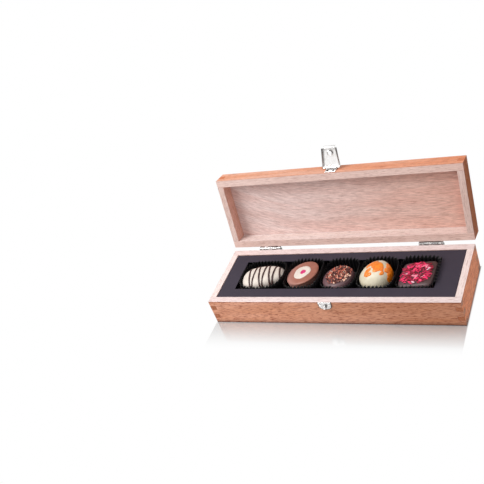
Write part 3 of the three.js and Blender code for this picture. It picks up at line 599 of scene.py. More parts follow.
# %% [markdown]
# ## Card insert
# The insert is stiff charcoal card with a window cut in it. The folded CAD shape is right, so it stays,
# with folds rounded a little. Card is dyed paper: almost black, matt, and faintly mottled by its fibres.

# %% Card
FOLD_EDGE = 0.25 * MM
card = Finish("charcoal_card", {"Specular IOR Level": 0.3})
card_fibre = card.noise(card.place(), 1400, 3.0, 0.6)
card_cloud = card.noise(card.place(), 60, 2.0)
card_shade = card_fibre * 0.6 + card_cloud * 0.4
card.set({
    "Base Color": card.blend(card_shade, tone(47, 41, 51), tone(66, 59, 72)),
    "Roughness": 0.62 + card_fibre * 0.2,
    "Normal": card.bump(card_fibre, 0.03 * MM, 0.5),
})
soften(dress("card_insert", card.material), FOLD_EDGE)
dress("card_riser", card.material)
print("card window", [round(v / MM, 1) for v in (WINDOW_DEPTH, WINDOW_Y)])

# %% [markdown]
# ## Chocolates
# Each chocolate is a rounded outline with upright sides and a crown. With k the share of the way from
# the middle to the outline, the crown's height is (1 - k^m)^(1/m): a large m makes a flat top with a tight
# edge, a small m makes a dome. The chocolates have slid to one side in their cups, so the tops slant: a
# point rises with x by the slant and with y by the pitch, more the higher it lies, and the crowns lean a
# little over their feet. Half sizes, the height of the crown and how far it stands proud of the card are
# millimetres, as all sizes from here on are. A few slow waves keep the surface from looking machined.

# %% Chocolate shapes
EVEN = dict(square=2, turn=0, slant=0, pitch=0, taper=0, egg=0)
CHOCOLATES = {
    "oval": dict(EVEN, middle=(-72.2, -1.0), half=(21.3, 12.7), square=2.6, crown=9, round=2.6, proud=5.3,
                 turn=12, lean=(0.05, 0), egg=0.14),
    "round": dict(EVEN, middle=(-30.5, 0.2), half=(15.6, 15.6), crown=3.4, round=3.2, proud=3.5,
                  slant=9.5, lean=(0.85, 0.4)),
    "nib": dict(EVEN, middle=(3.6, -3.0), half=(15.2, 15.2), crown=6, round=3.6, proud=2.7,
                slant=5, pitch=0.5, lean=(0.4, 0.15), taper=0.03),
    "dome": dict(EVEN, middle=(40.5, -0.6), half=(15.2, 15.2), crown=15.7, round=2.14, proud=10.6,
                 slant=6, lean=(0.34, 0)),
    "square": dict(EVEN, middle=(74.8, -1.2), half=(16.0, 15.4), square=7, crown=6, round=5, proud=1.8,
                   turn=-2, slant=8, pitch=1, lean=(0.1, 0.1)),
}
CARD_ABOVE_BASE = (CARD_TOP - CHOCOLATE_BASE) / MM
FOOT_SHARES, FOOT_HEIGHTS = (0.9, 0.945, 0.955), (0, 0.4, 1.2)
WOBBLE, WOBBLE_SIZE, WOBBLE_WAYS = 0.25, 6, (1, 1, 0.6)


def settle(shape, local):
    """Local millimetres to the frame: turn about the middle, slant, lean, taper, and move to the seat."""
    turn = math.radians(shape["turn"])
    x = local[..., 0] * math.cos(turn) - local[..., 1] * math.sin(turn)
    y = local[..., 0] * math.sin(turn) + local[..., 1] * math.cos(turn)
    height = CARD_ABOVE_BASE + shape["proud"]
    climb = x * math.tan(math.radians(shape["slant"])) + y * math.tan(math.radians(shape["pitch"]))
    z = local[..., 2] * (1 + climb / height)
    fall = np.clip(height - local[..., 2], 0, shape["proud"])
    narrow = 1 - shape["taper"] * fall / shape["proud"]
    x = x * narrow - shape["lean"][0] * fall
    y = y * narrow + shape["lean"][1] * fall
    place = np.stack([x + shape["middle"][0], y + shape["middle"][1], z], -1) * MM
    return place + [0, 0, CHOCOLATE_BASE]


def superellipse(half, square, angle):
    """Radius r at an angle t with |r cos t / a|^n + |r sin t / b|^n = 1."""
    across = np.abs(np.cos(angle) / half[0]) ** square
    return (across + np.abs(np.sin(angle) / half[1]) ** square) ** (-1 / square)


def outline_share(shape, x, y):
    """The share of the way from the middle to the outline that a point of the plan lies at, and how far
    off the outline is there. An egg is narrower towards +x: y is first divided by 1 - egg x / a."""
    even_y = y / (1 - shape["egg"] * x / shape["half"][0])
    reach = superellipse(shape["half"], shape["square"], np.arctan2(even_y, x))
    return np.hypot(x, even_y) / reach, reach


def crown_height(shape, x, y):
    """Height of the crown above a point of the plan, (1 - k^m)^(1/m) of the crown, with k the share."""
    share = np.clip(outline_share(shape, x, y)[0], 0, 1)
    rise = (1 - share ** shape["round"]) ** (1 / shape["round"])
    return CARD_ABOVE_BASE + shape["proud"] - shape["crown"] * (1 - rise)


def waves(points, size, seed):
    """A smooth wobble: the mean of six sine waves with seeded directions and phases."""
    rng = np.random.default_rng(seed)
    ways = rng.normal(size=(6, points.shape[-1])) / size
    starts = rng.uniform(0, 2 * np.pi, 6)
    return np.sin(points @ ways.T + starts).mean(-1)


def chocolate_points(shape, seed, columns=128, steps=26):
    """Rows of rings: a rounded foot, drafted sides, then the crown, whose share and height are the cosine
    and sine of an angle to the power 2/m."""
    height = CARD_ABOVE_BASE + shape["proud"]
    lift = np.linspace(0, 1, steps + 1)[:-1] * np.pi / 2
    shares = np.concatenate([FOOT_SHARES, np.cos(lift) ** (2 / shape["round"])])
    crown = height - shape["crown"] * (1 - np.sin(lift) ** (2 / shape["round"]))
    heights = np.concatenate([FOOT_HEIGHTS, crown])
    angle = np.linspace(0, 2 * np.pi, columns, endpoint=False)
    radius = superellipse(shape["half"], shape["square"], angle)
    x = shares[:, None] * radius * np.cos(angle)
    y = shares[:, None] * radius * np.sin(angle) * (1 - shape["egg"] * x / shape["half"][0])
    local = np.stack([x, y, np.broadcast_to(heights[:, None], x.shape)], -1)
    outward = local * WOBBLE_WAYS
    outward = outward / np.linalg.norm(outward, axis=-1, keepdims=True)
    local = local + outward * waves(local, WOBBLE_SIZE, seed)[..., None] * WOBBLE
    local[..., 2] = np.maximum(local[..., 2], 0)
    return local


print("chocolates", list(CHOCOLATES))

# %% [markdown]
# ## Chocolate finishes
# White, milk and dark chocolate differ in colour more than in structure: a satin coat over a faintly
# cloudy mass, with another tone low on the sides. That tone is partly a real bloom where a thumb or the
# mould has rubbed, and partly painted light: a painted sheen on the milk and dark chocolates and painted
# shade on the white ones. Tiny pits break the highlights.


# %% Chocolate finishes
LOW, HIGH = CARD_TOP - 1 * MM, CARD_TOP + 3 * MM
PIT_DEPTH = 0.12 * MM


def chocolate_finish(name, main, cloud, bloom_and_painted_light, gloss, low=LOW, high=HIGH):
    """A colour clouded by noise, a low tone that fades from the height low to high, and a pitted satin coat.
    The low tone is partly bloom, partly painted light: sheen on dark and milk chocolate, shade on white.
    """
    finish = Finish(name, {"Specular IOR Level": 0.45})
    place = finish.place()
    mottle = finish.noise(place, 220, 3.0, 0.55)
    grain = finish.noise(place, 1900, 2.0, 0.6)
    height = finish.axes(place)[2]
    # Low tone: partly bloom, partly painted sheen and shade.
    bloom_and_light_share = height.rise(high, low) * (0.45 + mottle * 0.5)
    colour = finish.blend(bloom_and_light_share, finish.blend(mottle.rise(0.35, 0.7), main, cloud), bloom_and_painted_light)
    finish.set({
        "Base Color": colour,
        "Roughness": gloss + mottle * 0.15 + bloom_and_light_share * 0.1,
        "Normal": finish.bump(mottle * 0.7 + grain * 0.3, PIT_DEPTH, 0.35),
    })
    return finish.material


CHOCOLATE_FINISHES = {
    # The white chocolates' low tones are darker: painted shade.
    "oval": chocolate_finish("white_chocolate", tone(233, 222, 211), tone(224, 212, 201),
                             tone(210, 195, 187), 0.38),
    "round": chocolate_finish("milk_chocolate", tone(163, 103, 85), tone(154, 95, 78),
                              tone(194, 143, 134), 0.36),
    # The dark disc's low tone reaches higher: painted sheen on its lower sides.
    "nib": chocolate_finish("dark_chocolate", tone(74, 48, 48), tone(64, 41, 42),
                            tone(128, 95, 101), 0.32, high=HIGH + 2 * MM),
    "dome": chocolate_finish("ivory_chocolate", tone(227, 217, 194), tone(219, 209, 183),
                             tone(210, 196, 168), 0.4),
    "square": chocolate_finish("bitter_chocolate", tone(74, 47, 46), tone(62, 40, 40),
                               tone(96, 70, 76), 0.34),
}
SLOTS = {"oval": "white_chocolate", "round": "milk_chocolate", "nib": "dark_chocolate",
         "dome": "white_chocolate", "square": "dark_chocolate"}

for seed, (name, shape) in enumerate(CHOCOLATES.items()):
    points, faces = closed_grid(settle(shape, chocolate_points(shape, seed)))
    piece(name + "_praline", points, faces, "case", SLOTS[name], CHOCOLATE_FINISHES[name],
          [name + "_chocolate"])

# %% [markdown]
# ## Paper cups
# A cup is a disc of black paper pressed into pleats. Its outline follows the cell, the wall leans out, and
# the pleats are a wave along the outline that deepens towards the rim. Steps of equal length along the
# outline keep all pleats the same width. Below the card the wall stays inside the window; above it the
# back of the rim flares out over the card, and the rim is cut in teeth, one to a pleat. The rims stand
# highest at the back and are pressed down at the front and the left. A Solidify modifier gives the paper
# its thickness.

# %% Cups
CELLS = {"oval": (-96.4, 46.6), "round": (-49.8, 36.4), "nib": (-13.4, 34.0),
         "dome": (20.6, 36.2), "square": (56.8, 35.2)}
CUP_SQUARE = {"oval": 3.0, "round": 4.0, "nib": 4.0, "dome": 4.0, "square": 6.0}
SIDE_PLEAT, BACK_PLEAT, FRONT_PLEAT = 0.6, 1.9, 1.2
PLAIN_RIGHT = dict(right=0, right_flare=0, right_pleat=SIDE_PLEAT)
# Rims above the card at the back and the front, how much more at the right, and how far they flare.
CUP_RIMS = {
    "oval": dict(PLAIN_RIGHT, back=2.2, front=1.3, right=2.6, flare=0.5),
    "round": dict(PLAIN_RIGHT, back=3.1, front=1.5, right=1.8, flare=1.5),
    "nib": dict(PLAIN_RIGHT, back=2.9, front=1.1, flare=1.5),
    "dome": dict(PLAIN_RIGHT, back=3.5, front=1.1, flare=1.7),
    "square": dict(back=3.4, front=1.2, right=0.3, flare=1.8, right_flare=2.6, right_pleat=1.8),
}
NOTCH = 1.3
PLEAT_WIDTH = 3.5
PLEAT_OWN = 0.35
FLOOR_INSET = 3.2
CLEAR = 0.15
POINTS_PER_PLEAT = 8
PAPER = 0.12 * MM
CARD_ABOVE_CUP = (CARD_TOP - CUP_BASE) / MM

cup_paper = Finish("black_pleated_paper", {"Specular IOR Level": 0.4})
paper_fibre = cup_paper.noise(cup_paper.place(), 1200, 3.0, 0.6)
cup_paper.set({
    "Base Color": cup_paper.blend(paper_fibre, tone(5, 4, 6), tone(17, 15, 18)),
    "Roughness": 0.36 + paper_fibre * 0.2,
    "Normal": cup_paper.bump(paper_fibre, 0.05 * MM, 0.4),
})


def even_outline(half, square, count):
    """A superellipse sampled at equal steps along its length, its outward directions and its length."""
    angle = np.linspace(0, 2 * np.pi, 6001)
    radius = superellipse(half, square, angle)
    line = np.stack([radius * np.cos(angle), radius * np.sin(angle)], -1)
    length = np.concatenate([[0], np.cumsum(np.linalg.norm(np.diff(line, axis=0), axis=1))])
    where = np.linspace(0, length[-1], count, endpoint=False)
    points = np.stack([np.interp(where, length, line[:, axis]) for axis in (0, 1)], -1)
    ahead = np.roll(points, -1, 0) - np.roll(points, 1, 0)
    out = np.stack([ahead[:, 1], -ahead[:, 0]], -1)
    return points, out / np.linalg.norm(out, axis=1, keepdims=True), length[-1]


def cup_points(half, square, rim, seed):
    """Rows from the middle of the floor out to its edge, then up the pleated wall to the rim. A pleat is a
    sharpened sine along the outline, shifted and deepened a little by its own random number. The weights
    back, front, right and left are the squares of the outward direction's parts."""
    rng = np.random.default_rng(seed)
    pleats = int(round(even_outline(half, square, 64)[2] / PLEAT_WIDTH))
    count = pleats * POINTS_PER_PLEAT
    line, out, _ = even_outline(half, square, count)
    step = np.arange(count) / POINTS_PER_PLEAT
    own = np.interp(step, np.arange(pleats + 1), np.append(rng.normal(size=pleats), 0)) * PLEAT_OWN
    wave = np.arcsin(0.97 * np.sin(2 * np.pi * (step + 0.12 * own))) / (np.pi / 2)
    right, back = np.clip(out, 0, 1).T ** 2
    left, front = np.clip(-out, 0, 1).T ** 2
    depth = BACK_PLEAT * back + FRONT_PLEAT * front + rim["right_pleat"] * right + SIDE_PLEAT * left
    up = np.concatenate([np.linspace(0, 1, 8), np.linspace(1, 2, 6)[1:]])[:, None]
    low, high = np.clip(up, 0, 1), np.clip(up - 1, 0, 1)
    swing = depth * (0.2 + 0.4 * low + 0.4 * high) * (1 + 0.25 * own)
    flare = rim["flare"] * back + rim["right_flare"] * right
    inset = FLOOR_INSET * (1 - low) + swing * low + CLEAR - flare * high
    wall = line + out * (wave * swing - inset)[..., None]
    climb = rim["right"] * np.clip(line[:, 0] / half[0], 0, 1) ** 2 * (1 - back)
    notch = NOTCH * (1 - wave * (1 - 2 * front)) / 2
    rise = rim["back"] + (rim["front"] - rim["back"]) * (front + left) + climb + 0.5 * own - notch
    heights = low * CARD_ABOVE_CUP + high * rise
    floor_rows = np.linspace(0.15, 0.96, 4)[:, None, None] * wall[0]
    flat = np.concatenate([floor_rows, wall])
    tall = np.concatenate([np.zeros(floor_rows.shape[:2]), np.broadcast_to(heights, wall.shape[:2])])
    return np.concatenate([flat, tall[..., None]], -1)


for seed, (name, (start, width)) in enumerate(CELLS.items()):
    half = (width / 2, WINDOW_DEPTH / MM / 2)
    local = cup_points(half, CUP_SQUARE[name], CUP_RIMS[name], seed)
    seat = [(start + width / 2) * MM, WINDOW_Y, CUP_BASE]
    points, faces = closed_grid(local * MM + seat, open_top=True)
    cup = piece(name + "_pleated_cup", points, faces, "case", "cup_paper", cup_paper.material,
                [name + "_cup"])
    thicken(cup, "paper", PAPER)

# %% [markdown]
# ## Drizzle on the oval
# A thin stripe of dark chocolate was poured to and fro. Each pass swings from back to front as a cosine,
# and the passes lie in pairs, because the hand moved on faster on the way back. The stripe is a tube whose
# middle line lies on the crown and whose width swells and thins a little.

# %% Drizzle
DRIZZLE_PASSES = 7
DRIZZLE_START = -13.8
DRIZZLE_STEP = 4.85
DRIZZLE_PAIR = 2.2
DRIZZLE_REACH = 1.32
DRIZZLE_ENDS = (0.08, 0.12)
DRIZZLE_RADIUS, DRIZZLE_FLAT = 0.85, 0.75
DRIZZLE_RIPPLE, DRIZZLE_RIPPLE_SIZE = 0.18, 2.5
BEND_SHARE = 0.985


def drape(shape, plan):
    """A line of the plan laid on a chocolate: on the crown, and down the side past the outline.
    Also gives the way straight out of the surface, from the slopes of the crown."""
    share, reach = outline_share(shape, *plan.T)
    kept = plan * np.minimum(1, BEND_SHARE / share)[:, None]
    height = crown_height(shape, *kept.T) - np.maximum(0, share - BEND_SHARE) * reach
    nudge = 0.05
    fall_x, fall_y = [crown_height(shape, *(kept - step).T) - crown_height(shape, *(kept + step).T)
                      for step in nudge * np.eye(2)]
    out = np.stack([fall_x, fall_y, np.full(len(plan), 2 * nudge)], -1)
    return np.column_stack([kept, height]), out / np.linalg.norm(out, axis=1, keepdims=True)


def tube_on_crown(shape, plan, radius, sides=10):
    """A tube along a line on the crown: flattened rings across the line."""
    line, out = drape(shape, plan)
    ahead = np.gradient(line, axis=0)
    side = np.cross(out, ahead)
    side /= np.linalg.norm(side, axis=1, keepdims=True)
    up = np.cross(ahead, side)
    up /= np.linalg.norm(up, axis=1, keepdims=True)
    angle = np.linspace(0, 2 * np.pi, sides, endpoint=False)[:, None]
    rings = side[:, None] * np.cos(angle) + up[:, None] * np.sin(angle) * DRIZZLE_FLAT
    return line[:, None] + rings * radius[:, None, None]


oval = CHOCOLATES["oval"]
time = np.linspace(DRIZZLE_ENDS[0], DRIZZLE_PASSES - DRIZZLE_ENDS[1], 80 * DRIZZLE_PASSES)
swing = np.cos(np.pi * time)
along = DRIZZLE_START + DRIZZLE_STEP * time - DRIZZLE_PAIR * (1 - swing) / 2
edge = (1 - np.abs(along / oval["half"][0]) ** oval["square"]) ** (1 / oval["square"]) * oval["half"][1]
drizzle_plan = np.stack([along, DRIZZLE_REACH * swing * edge], -1)
ripple = DRIZZLE_RIPPLE * waves(drizzle_plan, DRIZZLE_RIPPLE_SIZE, 11)
drizzle_width = DRIZZLE_RADIUS * (1 + ripple)
points, faces = closed_grid(settle(oval, tube_on_crown(oval, drizzle_plan, drizzle_width)))
drizzle_finish = chocolate_finish("drizzled_chocolate", tone(74, 46, 44), tone(62, 38, 37),
                                  tone(78, 52, 50), 0.3, high=LOW + MM)
piece("oval_stripe", points, faces, "case", "dark_chocolate", drizzle_finish, ["oval_drizzle"])

# %% [markdown]
# ## Spot and dot on the milk disc
# A round of white chocolate lies on the milk disc, with a raspberry-pink dot in its middle. Each is a
# low lens that follows the slanted top and sinks a little into it.

# %% Spot and dot
SPOT = dict(middle=(-1.7, -0.1), radius=8.4, thickness=0.35, lift=0.05, seed=1)
DOT = dict(middle=(-0.8, -0.2), radius=2.8, thickness=0.5, lift=0.35, seed=2)
LENS_SUNK = 0.4


def lens_points(shape, middle, radius, thickness, lift, seed, columns=96, rows=8):
    """A lens on a crown: height t sqrt(1 - k^4) over the top, with k from 1 at its edge to 0. The outline
    is a circle with waves three and five times round, and a first ring below it sinks its edge."""
    share = np.concatenate([[1], np.linspace(1, 0.02, rows)])[:, None]
    angle = np.linspace(0, 2 * np.pi, columns, endpoint=False)
    ragged = 1 + 0.03 * np.sin(3 * angle + seed) + 0.02 * np.sin(5 * angle + 2 * seed)
    x = middle[0] + share * radius * ragged * np.cos(angle)
    y = middle[1] + share * radius * ragged * np.sin(angle)
    z = crown_height(shape, x, y) + lift + thickness * np.sqrt(1 - share**4)
    z[0] -= LENS_SUNK
    return np.stack([x, y, z], -1)


milk = CHOCOLATES["round"]
points, faces = closed_grid(settle(milk, lens_points(milk, **SPOT)))
piece("round_white_spot", points, faces, "case", "white_chocolate", CHOCOLATE_FINISHES["oval"],
      ["round_spot"])
raspberry = chocolate_finish("raspberry_sugar", tone(222, 56, 126), tone(204, 40, 108),
                             tone(232, 90, 150), 0.45, LOW - MM, LOW)
points, faces = closed_grid(settle(milk, lens_points(milk, **DOT)))
piece("round_pink_dot", points, faces, "case", "pink_sugar", raspberry, ["round_dot"])

# %% [markdown]
# ## Candied orange on the dome
# Pieces of candied orange lie flat on the dome. Each is a closed blob: an oval drawn on the map of angles
# from the dome's top, filled from its middle outwards, and swollen by half a millimetre. Working in angles
# keeps a piece even where the side of the dome is steep. Some pieces are several ovals run together.

# %% Orange pieces
# Every oval: degrees round from +X and down from the dome's top, half length and half width, and its turn.
ORANGE_OVALS = {
    "dome_orange_1": [((-20, 7), (6.0, 4.8), -40), ((146, 24), (5.6, 3.0), 25), ((-39, 29), (1.6, 1.4), 0),
                      ((-73, 17), (3.4, 3.0), 0)],
    "dome_orange_2": [((-146, 34), (4.0, 2.7), 60), ((-122, 38), (2.8, 2.1), 20)],
    "dome_orange_3": [((-46, 40), (2.4, 1.9), 60)],
    "dome_orange_4": [((8, 52), (5.2, 4.8), 10), ((10, 68), (6.4, 5.0), 80), ((-10, 70), (5.6, 4.4), 80),
                      ((-20, 80), (5.0, 3.4), 60), ((-17, 45), (3.4, 2.0), 10)],
}
ORANGE_THICKNESS, ORANGE_LIFT = 0.6, 0.02
ORANGE_UNDER_SHARES, ORANGE_UNDER_LIFTS = (0.3, 0.98), (-0.3, -0.25)
ORANGE_CELL_DEPTH = 0.15 * MM
dome = CHOCOLATES["dome"]

orange = Finish("candied_orange", {"Specular IOR Level": 0.5, "Coat Weight": 0.3, "Coat Roughness": 0.25})
orange_cell = orange.noise(orange.place(), 420, 3.0, 0.55)
orange.set({
    "Base Color": orange.blend(orange_cell.rise(0.3, 0.7), tone(236, 111, 2), tone(251, 148, 30)),
    "Roughness": 0.3 + orange_cell * 0.2,
    "Normal": orange.bump(orange_cell, ORANGE_CELL_DEPTH, 0.4),
})


def dome_surface(angles, lift):
    """A point of the map of angles on the dome, lifted along the way out: its reach and its height are the
    sine and the cosine of the angle to the power 2/m."""
    angle = np.clip(np.linalg.norm(angles, axis=-1), 1e-6, np.pi / 2)
    way = angles / angle[..., None]
    share = np.sin(angle) ** (2 / dome["round"])
    rise = np.cos(angle) ** (2 / dome["round"])
    top = CARD_ABOVE_BASE + dome["proud"]
    flat = way * share[..., None] * dome["half"][0]
    point = np.concatenate([flat, (top - dome["crown"] * (1 - rise))[..., None]], -1)
    out = np.concatenate([way * np.sin(angle)[..., None], np.cos(angle)[..., None]], -1)
    return point + out * lift[..., None]


def blob_points(middle, half, turn, seed, columns=64, rows=9):
    """A closed blob: a sunk underside, then rows from the outline to the middle, highest inside."""
    angle = np.linspace(0, 2 * np.pi, columns, endpoint=False)
    ragged = 1 + 0.1 * np.sin(2 * angle + seed) + 0.08 * np.sin(3 * angle + 2 * seed)
    loop = np.stack([half[0] * np.cos(angle), half[1] * np.sin(angle)], -1) * ragged[:, None]
    spin = math.radians(turn)
    loop = loop @ np.array([[math.cos(spin), math.sin(spin)], [-math.sin(spin), math.cos(spin)]])
    grow = np.linspace(1, 0.04, rows)
    share = np.concatenate([ORANGE_UNDER_SHARES, grow])[:, None, None]
    around, down = np.radians(middle)
    angles = down * np.array([math.cos(around), math.sin(around)]) + share * loop / dome["half"][0]
    lift = np.concatenate([ORANGE_UNDER_LIFTS, ORANGE_THICKNESS * np.sqrt(1 - grow**3) + ORANGE_LIFT])
    return dome_surface(angles, np.broadcast_to(lift[:, None], angles.shape[:2]))


for seed, (node, ovals) in enumerate(ORANGE_OVALS.items()):
    blobs = [closed_grid(settle(dome, blob_points(*oval_shape, seed + 1))) for oval_shape in ovals]
    points, faces = joined(blobs)
    piece(node + "_candied", points, faces, "case", "orange", orange.material, [node])

# %% [markdown]
# ## Nibs and berry flakes
# The dark disc is strewn with roasted nibs and the square with dried berry flakes. One small shape is
# copied many times: every copy gets its own place, size and turn from seeded random numbers, and its
# corners are pushed about, so that no two look alike. A tint stored on the points gives each its shade.
# The palest copies are painted highlights: glints among the nibs, and partly glints among the berry
# flakes, which also have some truly pale bits.


# %% Strewn pieces
def strewn_places(middle, half, square, apart, tries, rng):
    """Random places inside a superellipse with a ragged edge, none closer to another than `apart`."""
    offered = rng.uniform(-1.15, 1.15, (tries, 2)) * half
    reach = superellipse(half, square, np.arctan2(offered[:, 1], offered[:, 0]))
    ragged = reach * rng.uniform(0.75, 1.15, tries)
    offered = offered[np.linalg.norm(offered, axis=1) < ragged] + middle
    kept = offered[:1]
    for place in offered[1:]:
        if np.linalg.norm(kept - place, axis=1).min() > apart:
            kept = np.concatenate([kept, [place]])
    return kept


def random_turns(count, tilt, spin_range, rng):
    """Rotation matrices: a spin about Z, then a lean of up to `tilt` radians to any side."""
    spin = rng.uniform(*spin_range, count)
    lean = rng.uniform(0, tilt, count)
    to = rng.uniform(0, 2 * np.pi, count)
    one, zero = np.ones(count), np.zeros(count)

    def about_z(a):
        rows = [np.cos(a), -np.sin(a), zero, np.sin(a), np.cos(a), zero, zero, zero, one]
        return np.stack(rows, -1).reshape(-1, 3, 3)

    rows = [one, zero, zero, zero, np.cos(lean), -np.sin(lean), zero, np.sin(lean), np.cos(lean)]
    return about_z(to) @ np.stack(rows, -1).reshape(-1, 3, 3) @ about_z(spin - to)


def strewn(name, shape, kind, slot, material, node):
    """Copies of one small shape on the crown of a chocolate, joined in one mesh with a tint per copy."""
    rng = np.random.default_rng(kind["seed"])
    places = strewn_places(kind["middle"], kind["half"], kind["square"], kind["apart"], kind["tries"], rng)
    count = len(places)
    sizes = np.array(kind["size"]) * rng.uniform(0.6, 1.4, (count, 1, 1))
    sizes = sizes * rng.uniform(0.8, 1.2, (count, 1, 3))
    push = rng.normal(scale=kind["rough"], size=(count, len(ICO_CORNERS), 1))
    pushed = ICO_CORNERS * (1 + push) * sizes
    turned = np.einsum("nij,nkj->nki", random_turns(count, kind["tilt"], kind["spin"], rng), pushed)
    ground = np.concatenate([places, crown_height(shape, *places.T)[:, None]], 1)
    ground[:, 2] += kind["lift"] * rng.uniform(0.4, 1.6, count)
    points = settle(shape, turned + ground[:, None])
    offsets = (np.arange(count) * len(ICO_CORNERS))[:, None, None]
    faces = (np.array(ICO_FACES)[None] + offsets).reshape(-1, 3).tolist()
    made = piece(name, points, faces, "case", slot, material, [node], smooth=False)
    store(made, "tint", np.repeat(rng.uniform(0, 1, count), len(ICO_CORNERS)))


def strewn_finish(name, dark, middle, pale_and_glint, gloss):
    """Dark to middle shade by each copy's tint, the last few pale, partly as painted highlights, roughened
    by fine noise.
    """
    finish = Finish(name, {"Specular IOR Level": 0.4})
    tint = finish.stored("tint")
    grain = finish.noise(finish.place(), 900, 3.0, 0.6)
    colour = finish.blend(tint.rise(0.15, 0.7), dark, middle)
    # Pale copies: partly painted highlights.
    colour = finish.blend(tint.rise(1 - PALE_AND_GLINT_SHARE, 1 - PALE_AND_GLINT_SHARE / 2), colour, pale_and_glint)
    finish.set({
        "Base Color": finish.blend(grain.rise(0.45, 0.75) * 0.4, colour, dark),
        "Roughness": gloss + grain * 0.25,
        "Normal": finish.bump(grain, CRUMB_GRAIN, 0.5),
    })
    return finish.material


GOLDEN = (1 + math.sqrt(5)) / 2
ICO_CORNERS = np.array([(-1, GOLDEN, 0), (1, GOLDEN, 0), (-1, -GOLDEN, 0), (1, -GOLDEN, 0), (0, -1, GOLDEN),
                        (0, 1, GOLDEN), (0, -1, -GOLDEN), (0, 1, -GOLDEN), (GOLDEN, 0, -1), (GOLDEN, 0, 1),
                        (-GOLDEN, 0, -1), (-GOLDEN, 0, 1)]) / math.hypot(1, GOLDEN)
ICO_FACES = [(0, 11, 5), (0, 5, 1), (0, 1, 7), (0, 7, 10), (0, 10, 11), (1, 5, 9), (5, 11, 4), (11, 10, 2),
             (10, 7, 6), (7, 1, 8), (3, 9, 4), (3, 4, 2), (3, 2, 6), (3, 6, 8), (3, 8, 9), (4, 9, 5),
             (2, 4, 11), (6, 2, 10), (8, 6, 7), (9, 8, 1)]
# The share of pale copies: painted highlights among the nibs, partly among the berry flakes.
PALE_AND_GLINT_SHARE = 0.2
CRUMB_GRAIN = 0.12 * MM
NIBS = dict(seed=5, middle=(0.4, 0.5), half=(11.3, 10.6), square=2.0, apart=1.3, tries=4600,
            size=(1.05, 0.7, 0.6), rough=0.22, tilt=0.8, spin=(0, 2 * math.pi), lift=0.35)
FLAKES = dict(seed=9, middle=(-0.9, -0.1), half=(12.6, 11.2), square=2.6, apart=1.68, tries=3600,
              size=(1.85, 0.74, 0.46), rough=0.16, tilt=0.6, spin=(-0.8, 0.9), lift=0.5)
nibs = strewn_finish("roasted_nibs", tone(76, 34, 28), tone(218, 122, 98), tone(250, 206, 180), 0.45)
strewn("nib_scatter", CHOCOLATES["nib"], NIBS, "nibs", nibs, "nib_crust")
berry = strewn_finish("berry_flakes", tone(146, 8, 42), tone(251, 54, 110), tone(253, 200, 214), 0.4)
strewn("square_berry_flakes", CHOCOLATES["square"], FLAKES, "berry", berry, "square_crust")

# %% [markdown]
# ## Nickel fittings
# Hinges, clasp and catch are stamped from thin sheet and nickel plated: a bright mirror, broken by fine
# polishing lines and a few dull patches. Where parts meet, dark lines are painted into the colour as
# shade, because these are what show a small fitting's form from a step away. So every fitting has a
# function that gives the share of painted shade by the distance from a pin, a nub or an edge. Pins and
# most nails are plain dark steel.

# %% Fittings
SHEET_EDGE = 0.2 * MM
# The dark tone of the shade painted on the fittings.
FITTING_SHADE = tone(50, 43, 42)
POLISH_LINES, POLISH_DEPTH = (400, 5200, 5200), 0.01 * MM


def nickel_finish(name, shade_of=None):
    """Plated sheet. An optional function takes the finish and gives the share of painted dark shade on its
    surface.
    """
    finish = Finish(name, {"Metallic": 1.0})
    dull = finish.noise(finish.place(), 260, 3.0, 0.6)
    lines = finish.noise(finish.spread(finish.place(), POLISH_LINES), 1.0, 2.0)
    colour = finish.blend(dull.rise(0.4, 0.75), tone(248, 246, 245), tone(230, 227, 224))
    if shade_of is not None:
        # Painted shade mixed into the plating's colour.
        colour = finish.blend(shade_of(finish) * (0.7 + dull * 0.3), colour, FITTING_SHADE)
    finish.set({
        "Base Color": colour,
        "Roughness": 0.12 + dull * 0.14 + lines * 0.08,
        "Normal": finish.bump(lines, POLISH_DEPTH, 0.4),
    })
    return finish.material


KNUCKLE_REACH = 2.3
HINGE_HAZE, HINGE_SPOTS = 0.45, 0.4


def hinge_shade(finish):
    """A broken line of painted shadow along the back of the knuckles, under the lid's edge, and a spotted
    darkening over their front.
    """
    _, y, z = finish.axes(finish.place())
    behind, above = (y - float(HINGE[1])) / MM, (z - float(HINGE[2])) / MM
    knuckle = (behind**2 + above**2).rise(KNUCKLE_REACH**2, (0.9 * KNUCKLE_REACH) ** 2)
    broken = finish.noise(finish.place(), 260, 2.0).rise(0.36, 0.52)
    # Painted shadow along the back of the knuckles.
    line = behind.rise(-0.5, -0.1) * behind.rise(1.8, 1.6) * broken
    spots = finish.noise(finish.place(), 520, 2.0).rise(0.38, 0.6)
    return line.larger(knuckle * behind.rise(0.1, -0.2) * (HINGE_HAZE + spots * HINGE_SPOTS))


CLASP_X = -0.8
CLASP_ABOVE_RIM = 8.2
CLASP_PIN = LID_BASE + CLASP_ABOVE_RIM * MM


def clasp_shade(finish):
    """A line of painted shade on the clasp plate, above and below its pin, where the curls shade it."""
    away = (finish.axes(shut_place(finish, True))[2] - CLASP_PIN).size() / MM
    # Painted shade in a band about the pin's height.
    return away.rise(1.1, 1.4) * away.rise(2.3, 1.9)


def arm_shade(finish):
    """Painted shade stored on the points of the clasp arm."""
    return finish.stored("painted_shade")


NUB_DROP = 4.6
CATCH_HALF, CATCH_DROP, CATCH_SQUARE = 6.3, 8.2, 3.2
CATCH_HAZE = 0.28


